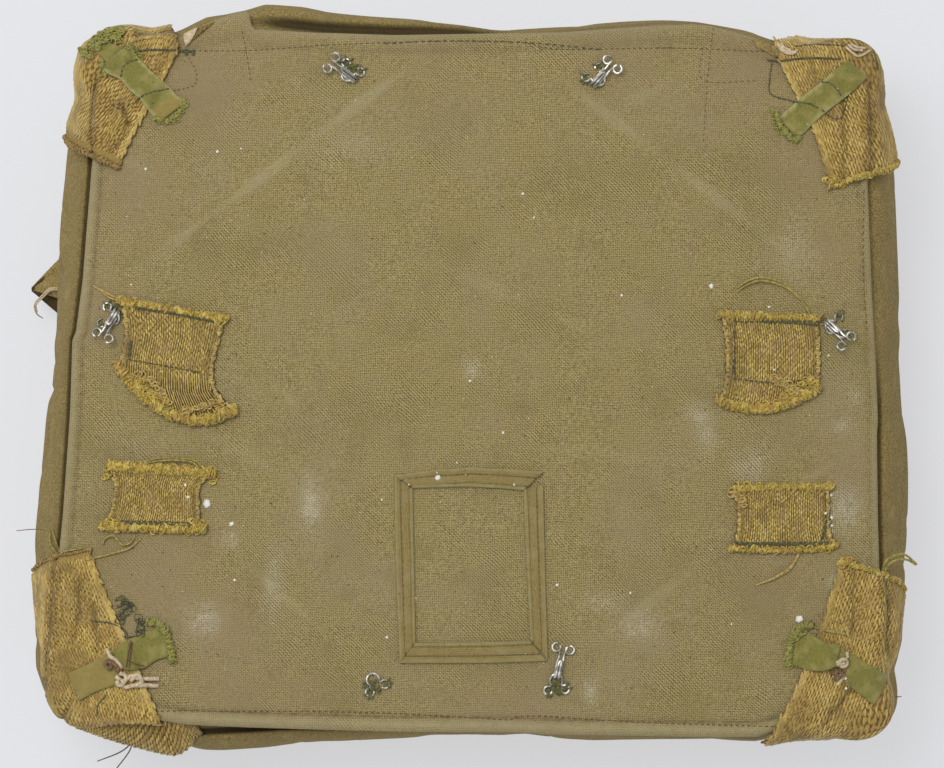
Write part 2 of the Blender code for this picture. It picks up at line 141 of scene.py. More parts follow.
canvasLook = {
    "diagonal": 1.2,  # spacing of the duck's slanting lines, drawn a little coarser than the threads
    "thread": 0.95,
    "relief": 0.16,
    "lineShare": 0.95,
    "wallLineShare": 0.3,
    "wallTops": 1.15,  # spacing of the walls' thread tops, drawn coarser than they are so that they show
    "patches": [  # size of the patches, hex, where noise starts and ends, how strong
        (38, "#7c7145", 0.50, 0.70, 0.36),
        (60, "#968769", 0.48, 0.72, 0.42),
        (13, "#7a6c44", 0.56, 0.74, 0.30),
        (4.5, "#6f6138", 0.66, 0.76, 0.45),
        (1.7, "#b0a47d", 0.66, 0.80, 0.35),
    ],
}


def newMaterial(name, roughness, sheen=0.0, metallic=0.0):
    material = bpy.data.materials.new(name)
    material.use_nodes = True
    shader = material.node_tree.nodes["Principled BSDF"]
    shader.inputs["Roughness"].default_value = roughness
    shader.inputs["Metallic"].default_value = metallic
    shader.inputs["Specular IOR Level"].default_value = 0.25 if not metallic else 0.5
    shader.inputs["Sheen Weight"].default_value = sheen
    shader.inputs["Sheen Roughness"].default_value = 0.5
    return material, material.node_tree, shader


def inMillimetres(tree, onCloth=False):
    # A place on the piece, or on its cloth laid flat.
    if onCloth:
        place = addNode(tree, "ShaderNodeUVMap", uv_map="flat")
    else:
        place = addNode(tree, "ShaderNodeTexCoord").node.outputs["Object"]
    return addNode(tree, "ShaderNodeVectorMath", {0: place, 3: 1000}, operation="SCALE")


def wave(tree, value, pitch):
    # A sine from 0 to 1 with one period each pitch.
    turned = addNode(tree, "ShaderNodeMath", {0: value, 1: 2 * math.pi / pitch}, operation="MULTIPLY")
    sine = addNode(tree, "ShaderNodeMath", {0: turned}, operation="SINE")
    return addNode(tree, "ShaderNodeMath", {0: sine, 1: 0.5, 2: 0.5}, operation="MULTIPLY_ADD")


def stains(tree, inMm, patches, detail, roughness=0.5, start=(0, 0, 0), step=(0, 0, 0)):
    # Layers of soft patches: size, hex, where the noise starts and ends, and how strong it gets.
    layers = []
    for index, (size, hexCode, low, high, most) in enumerate(patches):
        shift = [a + b * index for a, b in zip(start, step)]
        moved = addNode(tree, "ShaderNodeVectorMath", {0: inMm, 1: shift}, operation="ADD")
        spot = addNode(tree, "ShaderNodeTexNoise",
                       {"Vector": moved, "Scale": 1 / size, "Detail": detail, "Roughness": roughness})
        share = addNode(tree, "ShaderNodeMapRange", {"Value": spot, 1: low, 2: high, 3: 0.0, 4: most})
        layers.append((share, hexCode))
    return layers


def cover(tree, hexCode, layers):
    # Lays colours over one another, each by its share or by a painted attribute's name.
    colour = linear(hexCode)
    for share, over in layers:
        if isinstance(share, str):
            share = addNode(tree, "ShaderNodeAttribute", attribute_name=share).node.outputs["Fac"]
        mix = addNode(tree, "ShaderNodeMix", {0: share, 6: colour, 7: linear(over)}, data_type="RGBA")
        colour = mix.node.outputs[2]
    return colour


def finish(tree, shader, colour, height=None, strength=0, relief=0):
    tree.links.new(colour, shader.inputs["Base Color"])
    if height:
        bump = addNode(tree, "ShaderNodeBump", {"Height": height, "Strength": strength, "Distance": relief
                                                * mm})
        tree.links.new(bump, shader.inputs["Normal"])


def canvasMaterial(name, lightHex, darkHex, look, patches, upright=False):
    # Cotton duck, plain woven and washed out: matt, with dull slanting lines of thread tops and soft stains.
    material, tree, shader = newMaterial(name, 0.93, sheen=0.0 if upright else 0.1)
    inMm = inMillimetres(tree)
    axes = addNode(tree, "ShaderNodeSeparateXYZ", {0: inMm}).node.outputs
    drift = addNode(tree, "ShaderNodeTexNoise", {"Vector": inMm, "Scale": 0.05, "Detail": 1.0})
    ups = [
        addNode(tree, "ShaderNodeMath", {0: drift, 1: 3.0, 2: axis}, operation="MULTIPLY_ADD")
        for axis in axes
    ]
    slant = addNode(tree, "ShaderNodeMath", {0: ups[0], 1: ups[1]}, operation="ADD")
    if upright:
        slant = addNode(tree, "ShaderNodeMath", {0: slant, 1: ups[2]}, operation="ADD")
        # on the curved walls the thread tops are drawn as dots, which look alike from every side
        tops = addNode(tree, "ShaderNodeTexVoronoi", {"Vector": inMm, "Scale": 1 / look["wallTops"]})
        grid = addNode(tree, "ShaderNodeMapRange", {"Value": tops, 1: 0.1, 2: 0.75, 3: 0.72, 4: 0.04})
    else:
        warp = wave(tree, ups[0], look["thread"])
        weft = wave(tree, ups[1], look["thread"] * 1.15)
        grid = addNode(tree, "ShaderNodeMath", {0: warp, 1: weft}, operation="MULTIPLY")
    lines = wave(tree, slant, look["diagonal"] * math.sqrt(2))
    lines = addNode(tree, "ShaderNodeMath", {0: lines, 1: 0.5}, operation="SUBTRACT")
    fade = addNode(tree, "ShaderNodeTexNoise", {"Vector": inMm, "Scale": 0.028, "Detail": 2.0})
    fade = addNode(tree, "ShaderNodeMapRange", {"Value": fade, 1: 0.42, 2: 0.62, 3: 0.1, 4: 1.0})
    lines = addNode(tree, "ShaderNodeMath", {0: lines, 1: fade}, operation="MULTIPLY")
    strength = look["wallLineShare"] if upright else look["lineShare"]
    height = addNode(tree, "ShaderNodeMath", {0: lines, 1: strength, 2: grid}, operation="MULTIPLY_ADD")
    fine = addNode(tree, "ShaderNodeTexNoise", {"Vector": inMm, "Scale": 1.3, "Detail": 2.0,
                                                "Roughness": 0.75})
    height = addNode(tree, "ShaderNodeMath", {0: fine, 1: 3.0, 2: height}, operation="MULTIPLY_ADD")
    share = addNode(tree, "ShaderNodeMapRange", {"Value": height, 1: 0.85, 2: 3.05})
    chalk = addNode(tree, "ShaderNodeAttribute", attribute_name="chalk").node.outputs["Fac"]
    tops = addNode(tree, "ShaderNodeMapRange", {"Value": height, 1: 1.45, 2: 2.65, 3: 0.15})
    # the chalk sits on the thread tops
    chalk = addNode(tree, "ShaderNodeMath", {0: chalk, 1: tops}, operation="MULTIPLY")
    layers = [(share, lightHex)] + stains(tree, inMm, patches, 3.0, 0.6, start=(0, 0, 5), step=(31, 17, 0))
    # the last two layers: painted shade in grooves, creases, seams and hollows, then wear with a painted
    # highlight on the hem rolls
    layers += [("faded", "#947f60"), (chalk, "#cbc4ac"), ("grimeAndShade", "#3a2f1a"), ("wornAndLit", "#a89c78")]
    finish(tree, shader, cover(tree, darkHex, layers), height, 0.7, look["relief"])
    return material


def webbingMaterial(name, lightHex, midHex, darkHex, strand, floatLength, slant):
    # Cotton harness webbing, warp faced: short floats side by side, each a little further on than the last.
    material, tree, shader = newMaterial(name, 0.85, sheen=0.05)
    inMm = inMillimetres(tree, onCloth=True)
    bend = addNode(tree, "ShaderNodeTexNoise", {"Vector": inMm, "Scale": 0.12, "Detail": 1.0})
    axes = addNode(tree, "ShaderNodeSeparateXYZ", {0: inMm}).node.outputs
    across = addNode(tree, "ShaderNodeMath", {0: axes[1], 1: slant, 2: axes[0]}, operation="MULTIPLY_ADD")
    across = addNode(tree, "ShaderNodeMath", {0: bend, 1: 2.4, 2: across}, operation="MULTIPLY_ADD")
    column = addNode(tree, "ShaderNodeMath", {0: across, 1: strand}, operation="DIVIDE")
    number = addNode(tree, "ShaderNodeMath", {0: column}, operation="FLOOR")
    shift = addNode(tree, "ShaderNodeTexWhiteNoise", {"W": number}, noise_dimensions="1D")
    along = addNode(tree, "ShaderNodeMath", {0: axes[1], 1: floatLength}, operation="DIVIDE")
    along = addNode(tree, "ShaderNodeMath", {0: number, 1: 0.41, 2: along}, operation="MULTIPLY_ADD")
    along = addNode(tree, "ShaderNodeMath", {0: shift, 1: 0.22, 2: along}, operation="MULTIPLY_ADD")
    humps = []
    for value in (column, along):
        part = addNode(tree, "ShaderNodeMath", {0: value}, operation="FRACT")
        part = addNode(tree, "ShaderNodeMath", {0: part, 1: math.pi}, operation="MULTIPLY")
        part = addNode(tree, "ShaderNodeMath", {0: part}, operation="SINE")
        humps.append(addNode(tree, "ShaderNodeMath", {0: part, 1: 0.6}, operation="POWER"))
    height = addNode(tree, "ShaderNodeMath", {0: humps[0], 1: humps[1]}, operation="MULTIPLY")
    fine = addNode(tree, "ShaderNodeTexNoise", {"Vector": inMm, "Scale": 0.9, "Detail": 3.0})
    share = addNode(tree, "ShaderNodeMath", {0: fine, 1: 0.9, 2: height}, operation="MULTIPLY_ADD")
    share = addNode(tree, "ShaderNodeMapRange", {"Value": share, 1: 0.45, 2: 1.6})
    lower = addNode(tree, "ShaderNodeMath", {0: share, 1: 2.0}, operation="MULTIPLY", use_clamp=True)
    upper = addNode(tree, "ShaderNodeMath", {0: share, 1: 2.0, 2: -1.0}, operation="MULTIPLY_ADD",
                    use_clamp=True)
    layers = [(lower, midHex), (upper, lightHex)]
    layers += stains(tree, inMm, [(9.1, "#a98562", 0.48, 0.72, 0.4)], 3.0)
    # the dark layer is painted shade in creases, dips, under folds and between bare strands
    layers += [("grimeAndShade", "#3f2e14"), ("pale", "#a3894f")]
    finish(tree, shader, cover(tree, darkHex, layers), height, 0.9, 0.45)
    return material


def tapeMaterial(name, lightHex, darkHex, wornHex):
    # Narrow herringbone tape, dyed and faded: fine ribs that only just show, and a dusty bloom.
    material, tree, shader = newMaterial(name, 0.9, sheen=0.25)
    inMm = inMillimetres(tree, onCloth=True)
    axes = addNode(tree, "ShaderNodeSeparateXYZ", {0: inMm}).node.outputs
    ribs = wave(tree, axes[1], 0.62)
    rows = wave(tree, axes[0], 0.8)
    height = addNode(tree, "ShaderNodeMath", {0: ribs, 1: rows}, operation="MULTIPLY")
    fine = addNode(tree, "ShaderNodeTexNoise", {"Vector": inMm, "Scale": 0.7, "Detail": 4.0})
    share = addNode(tree, "ShaderNodeMath", {0: fine, 1: 1.2, 2: height}, operation="MULTIPLY_ADD")
    share = addNode(tree, "ShaderNodeMapRange", {"Value": share, 1: 0.3, 2: 1.6})
    layers = [(share, lightHex)] + stains(tree, inMm, [(7.7, wornHex, 0.45, 0.7, 0.7)], 2.0)
    # the dark layer is dirt and painted shade in the dents under rows of stitches
    layers += [("tan", "#9a844c"), ("pale", "#a8a36c"), ("grimeAndShade", "#3b3a1e")]
    finish(tree, shader, cover(tree, darkHex, layers), height, 0.5, 0.15)
    return material


def threadMaterial(name, lightHex, darkHex, grain=0.7, patches=()):
    # Spun cotton thread: matt, with light and dark plies, and stretches of another hue for each patch.
    material, tree, shader = newMaterial(name, 0.85, sheen=0.2)
    inMm = inMillimetres(tree)
    plies = addNode(tree, "ShaderNodeTexNoise", {"Vector": inMm, "Scale": grain, "Detail": 3.0,
                                                 "Roughness": 0.7})
    share = addNode(tree, "ShaderNodeMapRange", {"Value": plies, 1: 0.35, 2: 0.65})
    layers = [(share, lightHex)] + stains(tree, inMm, patches, 2.0, start=(0, 7, 29), step=(13, 0, 0))
    finish(tree, shader, cover(tree, darkHex, layers))
    return material


def floatMaterial(name, lightHex, darkHex, stainHex):
    # Floats of cotton warp: each its own shade, with soft stains across them, soiled streaks, painted shade
    # in the creases and grooves, and a painted highlight beside the creases.
    material, tree, shader = newMaterial(name, 0.8, sheen=0.3)
    inMm = inMillimetres(tree)
    shade = addNode(tree, "ShaderNodeAttribute", attribute_name="shade").node.outputs["Fac"]
    plies = addNode(tree, "ShaderNodeTexNoise", {"Vector": inMm, "Scale": 1.6, "Detail": 2.0})
    share = addNode(tree, "ShaderNodeMath", {0: plies, 1: 0.7, 2: shade}, operation="MULTIPLY_ADD")
    share = addNode(tree, "ShaderNodeMapRange", {"Value": share, 1: 0.2, 2: 1.5})
    layers = [(share, lightHex)] + stains(tree, inMm, [(11.1, stainHex, 0.46, 0.68, 0.55)], 3.0)
    layers += stains(tree, inMm, [(22.2, "#6f6434", 0.50, 0.68, 0.4)], 3.0, 0.65)
    soilAndShade = addNode(tree, "ShaderNodeAttribute", attribute_name="soilAndShade").node.outputs["Fac"]
    for most, hexCode in ((1.0, "#4f3c1c"), (-0.25, "#e0cb86")):  # soiled or painted shade above 0, rubbed pale or painted highlight below it
        share = addNode(tree, "ShaderNodeMapRange", {"Value": soilAndShade, 1: 0.0, 2: most, 3: 0.0, 4: 0.75})
        layers.append((share, hexCode))
    finish(tree, shader, cover(tree, darkHex, layers))
    return material


def wireMaterial(name):
    # Nickel-plated wire, dulled by handling: bright, with small dark scuffs.
    material, tree, shader = newMaterial(name, 0.28, metallic=1.0)
    inMm = inMillimetres(tree)
    scuffs = addNode(tree, "ShaderNodeTexNoise", {"Vector": inMm, "Scale": 0.3, "Detail": 2.0})
    share = addNode(tree, "ShaderNodeMapRange", {"Value": scuffs, 1: 0.42, 2: 0.62})
    rough = addNode(tree, "ShaderNodeMapRange", {"Value": scuffs, 1: 0.4, 2: 0.65, 3: 0.6, 4: 0.4})
    tree.links.new(rough, shader.inputs["Roughness"])
    finish(tree, shader, cover(tree, "#9b978c", [(share, "#f2f0ea")]))
    return material


faceCanvas = canvasMaterial("cotton duck, back panel", "#c6b57e", "#594a24", canvasLook,
                            canvasLook["patches"])
wallCanvas = canvasMaterial(
    "cotton duck, walls", "#bda769", "#604e29", canvasLook,
    [(40, "#85744a", 0.50, 0.70, 0.5), (9, "#b09a68", 0.55, 0.72, 0.4)], upright=True,
)
strapWebbing = webbingMaterial("cotton webbing, corner straps", "#b89c58", "#8d7138", "#5b431a", 1.15, 3.2,
                               0.2)
stubWebbing = webbingMaterial("cotton webbing, harness stubs", "#a68b4a", "#7d6531", "#523f1b", 1.25, 2.9,
                              0.06)
greenTape = tapeMaterial("cotton tape, green", "#968f4b", "#666129", "#a2965b")
bindingTape = tapeMaterial("cotton tape, olive binding", "#a7925b", "#706237", "#998960")
rollPatches = [
    (7, "#a5804a", 0.52, 0.62, 0.55), (5, "#858038", 0.54, 0.64, 0.5), (3, "#dcc870", 0.54, 0.64, 0.6),
]
mustardYarn = threadMaterial("cotton yarn, mustard", "#d4ba5a", "#856920", patches=rollPatches)
oliveYarn = threadMaterial("cotton yarn, olive yellow", "#b9aa5c", "#7b6c30")
tanYarn = threadMaterial("cotton yarn, tan", "#b59a58", "#6d5226", patches=[(4, "#8f6f3c", 0.50, 0.60, 0.7)])
paleYarn = threadMaterial("cotton yarn, straw", "#cbb06c", "#8f7437")
limeYarn = threadMaterial("cotton yarn, yellow green", "#aba455", "#6b6a31")
greenThread = threadMaterial("waxed thread, dark green", "#656544", "#3a3b28")
mossThread = threadMaterial("waxed thread, moss green", "#7f7d47", "#45452a")
oliveThread = threadMaterial("cotton thread, olive", "#6e6238", "#4e4426")
brownThread = threadMaterial("cotton thread, red brown", "#7a5a38", "#574024")
creamThread = threadMaterial("cotton cord, cream", "#d9c8a8", "#b39c7b")
brownCord = threadMaterial("cotton cord, brown", "#8f7050", "#5c452e")
strapFloat = floatMaterial("cotton warp floats, corner straps", "#d2b766", "#96793a", "#a48250")
stubFloat = floatMaterial("cotton warp floats, harness stubs", "#dac271", "#8d7536", "#ab8a5e")
chalkWhite = threadMaterial("plaster flecks", "#f4f1e8", "#e2ddd0", 0.4)
lintGrey = threadMaterial("lint, dark", "#4a4230", "#352e20", 0.4)
nickelWire = wireMaterial("nickel-plated wire")
print("materials: canvas, webbing, tape, thread and wire")

# ---- shared shapes

panelShape = {
    "sides": [  # y, left edge, right edge
        (165, -171.5, 185.4), (148, -173, 185.6), (102, -177.7, 184.7), (50, -181.4, 186.3),
        (24, -184.5, 187.6),
        (20, -186.2, 187.8), (-14, -187.0, 188.9), (-21, -187.4, 188.3), (-63, -190, 188.6),
        (-97, -193, 189.4),
        (-145, -196, 187.3), (-165, -197, 186.5),
    ],
    "ends": [  # x, far edge, near edge
        (-198, 156, -154), (-180, 157, -155), (-146, 158, -157.5), (-133, 162.5, -159.7), (-104, 164.6, -161),
        (-75, 163, -161.9), (-37, 161.8, -163), (17, 162.7, -163.3), (41, 163, -164.3), (80, 166, -165),
        (104, 167, -165.4), (112, 166.2, -165.5), (131, 161, -165.5), (150, 154, -161.5), (190, 150, -158.5),
    ],
    # x, how far it runs on over the far wall
    "tab": [(-134, 0), (-128, 3), (-112, 8.5), (-104.5, 9), (-103, 0)],
    "thickness": 1.5,
}


def readTable(rows, value, column=1):
    rows = sorted(rows)
    return float(np.interp(value, [r[0] for r in rows], [r[column] for r in rows]))


def smooth(t):
    t = np.clip(t, 0, 1)
    return t * t * (3 - 2 * t)


def pastEdge(x, y):
    # How far a plan position is outside the panel's edge, and minus how far inside, in millimetres.
    left, right = readTable(panelShape["sides"], y), readTable(panelShape["sides"], y, 2)
    far, near = readTable(panelShape["ends"], x), readTable(panelShape["ends"], x, 2)
    return max(left - x, x - right, y - far, near - y)


def treeOf(item):
    item.data.calc_loop_triangles()
    points = [v.co.copy() for v in item.data.vertices]
    return BVHTree.FromPolygons(points, [tuple(t.vertices) for t in item.data.loop_triangles])


def topAt(x, y, surfaces, missing=0.102):
    # Height of the highest surface at a plan position in metres.
    found = [s.ray_cast(Vector((x, y, 0.3)), Vector((0, 0, -1)))[0] for s in surfaces]
    return max([hit.z for hit in found if hit], default=missing)


def capital(key):
    return key[0].upper() + key[1:]


def addItem(name, mesh):
    item = bpy.data.objects.new(name, mesh)
    scene.collection.objects.link(item)
    return item


def keepResult(item):
    # Keeps what the modifiers make as the item's own plain mesh.
    mesh = bpy.data.meshes.new_from_object(item.evaluated_get(bpy.context.evaluated_depsgraph_get()))
    item.modifiers.clear()
    item.data = mesh
    return mesh


def paintPoints(mesh, key, values):
    layer = mesh.attributes.new(key, "FLOAT", "POINT")
    layer.data.foreach_set("value", np.asarray(values, np.float32).ravel())


def rideAs(item):
    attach(item, "root")
    return item


def gridNormals(base):
    # The upward normals of a grid of points.
    along, across = np.gradient(base, axis=0), np.gradient(base, axis=1)
    normal = np.cross(across, along)
    normal /= np.linalg.norm(normal, axis=2, keepdims=True) + 1e-12
    return -normal if normal[..., 2].mean() < 0 else normal


def aroundSum(values):
    # The sum of each grid point's four neighbours.
    padded = np.pad(values, 1, mode="edge")
    return padded[1:-1, :-2] + padded[1:-1, 2:] + padded[:-2, 1:-1] + padded[2:, 1:-1]


def addMesh(name, vertices, faces, material, uvs, paint):
    mesh = bpy.data.meshes.new(name)
    mesh.from_pydata([tuple(v) for v in vertices], [], [tuple(f) for f in faces])
    mesh.validate()
    layer = mesh.uv_layers.new(name="flat")
    corner = np.zeros(len(mesh.loops), np.int32)
    mesh.loops.foreach_get("vertex_index", corner)
    layer.data.foreach_set("uv", np.asarray(uvs, np.float32)[corner].ravel())
    for key, values in paint.items():
        paintPoints(mesh, key, values)
    mesh.materials.append(material)
    mesh.shade_smooth()
    return rideAs(addItem(name, mesh))


def solidSheet(name, base, thickness, flat, material, soften=1.5, edgeShare=0.35, paint=None):
    # A closed sheet from a grid of points of its underside. Its edges are thinned over the soften distance.
    rows, columns = base.shape[:2]
    normal = gridNormals(base)
    u, v = flat[..., 0], flat[..., 1]
    inside = np.minimum(np.minimum(u - u.min(1, keepdims=True), u.max(1, keepdims=True) - u),
                        np.minimum(v - v.min(0, keepdims=True), v.max(0, keepdims=True) - v)) / (soften * mm)
    depth = 1 - np.clip(inside, 0, 1)
    share = edgeShare + (1 - edgeShare) * np.sqrt(np.clip(1 - depth ** 2, 0, 1))
    top = base + normal * (thickness * mm * share)[..., None]
    index = np.arange(rows * columns).reshape(rows, columns)
    quads = np.stack([index[:-1, :-1], index[:-1, 1:], index[1:, 1:], index[1:, :-1]], -1).reshape(-1, 4)
    border = np.concatenate([index[0, :-1], index[:-1, -1], index[-1, :0:-1], index[:0:-1, 0]])
    size = rows * columns
    rim = np.stack([border, np.roll(border, -1), np.roll(border, -1) + size, border + size], -1)
    points = np.concatenate([base.reshape(-1, 3), top.reshape(-1, 3)])
    faces = np.concatenate([quads[:, ::-1], quads + size, rim])
    uvs = np.concatenate([flat.reshape(-1, 2)] * 2)
    doubled = {k: np.concatenate([np.asarray(p).ravel()] * 2) for k, p in (paint or {}).items()}
    item = addMesh(name, points, faces, material, uvs, doubled)
    bm = bmesh.new()
    bm.from_mesh(item.data)
    if bm.calc_volume(signed=True) < 0:
        bmesh.ops.reverse_faces(bm, faces=bm.faces)
        bm.to_mesh(item.data)
    bm.free()
    return item


# ---- pack body

bodySizes = {
    "wrinkle": 1.5,  # depth of the walls' creases
    "baseSeam": 17,  # height of the seam round the base
    "cornerSlope": 0.83,  # y over x where the corner seams run
    "voxel": 5.0,
    "pressure": 4.0,
    "frames": 20,
    "mostSwell": 1.4,  # cap on how far a point may move
    "wallHeights": (10, 95),  # where the walls' mean push is measured
    "crownFrom": 98,  # above this nothing rises
    "footTo": 1.5,  # below this nothing moves
    "band": (-5, 17),  # finer mesh this far from the panel's edge
    "corners": {  # where each filled corner turns from, and how far it is pushed out
        "farLeft": (-150, 132, 11.5), "farRight": (160, 130, 11.0), "nearLeft": (-168, -138, 3.4),
        "nearRight": (165, -135, 10.5),
    },
    "bulges": {  # along each side, how far the filling pushes the wall out
        "far": [(-190, 0), (-172, 1), (-154, 2.4), (-140, 1.6), (-134, 2.4), (-126, 3.6), (-117, 2.5),
                (-108, 2.5), (-98, 4),
                (-80, 3.2), (-70, 2.4), (-24, 1.9), (-5, 0.9), (5, 0), (13, -0.9), (30, -0.5), (59, 1.2),
                (96, 2.3),
                (124, 2.3), (134, 2.4), (145, 1.2), (154, 2.4), (162, 2.4), (171, -0.6), (180, -1), (190, 0)],
        "near": [(-175, 1), (-150, 2), (-126, 2), (-107, 0), (-89, -1.9), (-70, -3), (-33, -4.2), (-15, -4.6),
                 (4, -4.2), (22, -3.7), (41, -2.8), (59, -2.3), (115, -2.3), (124, -1), (134, 0.5), (150, 0)],
        "left": [(-158, 0), (-148, 2), (-135, 2), (-122, 0), (-100, -1), (-88, -1), (-75, 0), (100, 0),
                 (120, 1),
                 (150, 1)],
        "right": [(-150, 0), (-135, 0), (-122, 1), (-105, 0), (100, 0), (125, -1), (142, -1), (150, 0)],
    },
    "grooves": [  # side, from, to along it, how far out, half width, depth
        ("left", -175, 170, 1.4, 1.2, 3.4),
        ("right", 20, 170, 0.8, 1.2, 1.1),
        ("right", -175, 20, 1.4, 1.3, 3.0),
        ("far", -116, 30, 1.2, 2.9, 6.0),
        ("far", 15, 135, 1.0, 1.4, 1.2),
        ("near", -168, 70, 1.3, 1.5, 5.5),
        ("near", 40, 140, 1.2, 1.5, 2.5),
    ],
}


def sideOf(x, y):
    # Which edge of the panel a plan position is nearest, how far past it, and where along it.
    gaps = {
        "left": (readTable(panelShape["sides"], y) - x, y),
        "right": (x - readTable(panelShape["sides"], y, 2), y),
        "far": (y - readTable(panelShape["ends"], x), x),
        "near": (readTable(panelShape["ends"], x, 2) - y, x),
    }
    side = max(gaps, key=lambda key: gaps[key][0])
    return side, *gaps[side]


def outwardPush(x, y):
    # How far, and which way, the filling pushes the walls out at a plan position, in millimetres.
    bulges = bodySizes["bulges"]
    sideways = readTable(bulges["right"], y) if x > 0 else -readTable(bulges["left"], y)
    endways = readTable(bulges["far"], x) if y > 0 else -readTable(bulges["near"], x)
    gapX = readTable(panelShape["sides"], y, 2 if x > 0 else 1)
    gapY = readTable(panelShape["ends"], x, 1 if y > 0 else 2)
    sideways *= float(smooth((abs(x) - abs(gapX) + 20) / 20))
    endways *= float(smooth((abs(y) - abs(gapY) + 20) / 20))
    push = Vector((sideways, endways, 0))
    for cx, cy, most in bodySizes["corners"].values():
        ahead = Vector((x - cx, y - cy, 0))
        if ahead.x * cx > 0 and ahead.y * cy > 0 and ahead.length > 1:
            ahead.normalize()
            push += ahead * most * abs(2 * ahead.x * ahead.y) ** 1.4
    return push


def grooveAt(x, y):
    side, past, along = sideOf(x, y)
    deepest = 0.0
    for which, start, end, out, half, depth in bodySizes["grooves"]:
        if which == side and start <= along <= end:
            taper = smooth(min(along - start, end - along) / 34)
            deepest = max(deepest, depth * taper * math.exp(-((past - out) / half) ** 2))
    return deepest


def swell(item, sizes):
    # The filled case pushes its canvas out a little; the movement is capped, and the foot stays flat.
    start = np.array([v.co for v in item.data.vertices])
    cloth = item.modifiers.new("filling", "CLOTH")
    cloth.settings.use_pressure = True
    cloth.settings.uniform_pressure_force = sizes["pressure"]
    cloth.settings.effector_weights.gravity = 0
    cloth.point_cache.frame_end = sizes["frames"]
    for number in range(1, sizes["frames"] + 1):
        scene.frame_set(number)
    shaped = bpy.data.meshes.new_from_object(item.evaluated_get(bpy.context.evaluated_depsgraph_get()))
    end = np.array([v.co for v in shaped.vertices])
    item.modifiers.remove(cloth)
    scene.frame_set(1)
    step = end - start
    normal = np.array([v.normal for v in item.data.vertices])
    outward = (step * normal).sum(axis=1)
    height = start[:, 2] / mm
    wall = (height > sizes["wallHeights"][0]) & (height < sizes["wallHeights"][1])
    step -= normal * outward[wall].mean()  # the case keeps its size, only its evenness is lost
    length = np.linalg.norm(step, axis=1, keepdims=True)
    step *= np.minimum(1, sizes["mostSwell"] * mm / np.maximum(length, 1e-9))
    end = start + step
    end[:, 2] = np.where(height > sizes["crownFrom"], np.minimum(end[:, 2], start[:, 2]), end[:, 2])
    foot = height < sizes["footTo"]
    end[foot] = start[foot]
    end[:, 2] = np.maximum(end[:, 2], 0)
    item.data.vertices.foreach_set("co", end.ravel())


def wrinkleAt(x, y, z):
    # From 0 to 1 in the creases that cross the walls, which are narrower and steeper near the corners.
    slant = z * 0.8 * (1 if x * y > 0 else -1)
    wide = abs(noise.noise(Vector(((x + slant) * 0.014, (y - slant) * 0.014, z * 0.010 + 3))))
    fine = abs(noise.noise(Vector(((x - slant) * 0.027, (y + slant) * 0.027, z * 0.017 + 9))))
    return max(0, 1 - wide / 0.13) ** 2 + 0.6 * max(0, 1 - fine / 0.16) ** 2


def wallSeamAt(x, y, z, sizes):
    # Depth of the furrow along the base seam and down each corner seam.
    base = math.exp(-((z - sizes["baseSeam"]) / 2.6) ** 2)
    side = abs(abs(x) * sizes["cornerSlope"] - abs(y))
    corner = math.exp(-(side / 3.4) ** 2)
    corner *= float(smooth((z - sizes["baseSeam"]) / 4) * smooth((58 - z) / 16))
    return 1.1 * max(base, corner if abs(x) > 130 else 0)


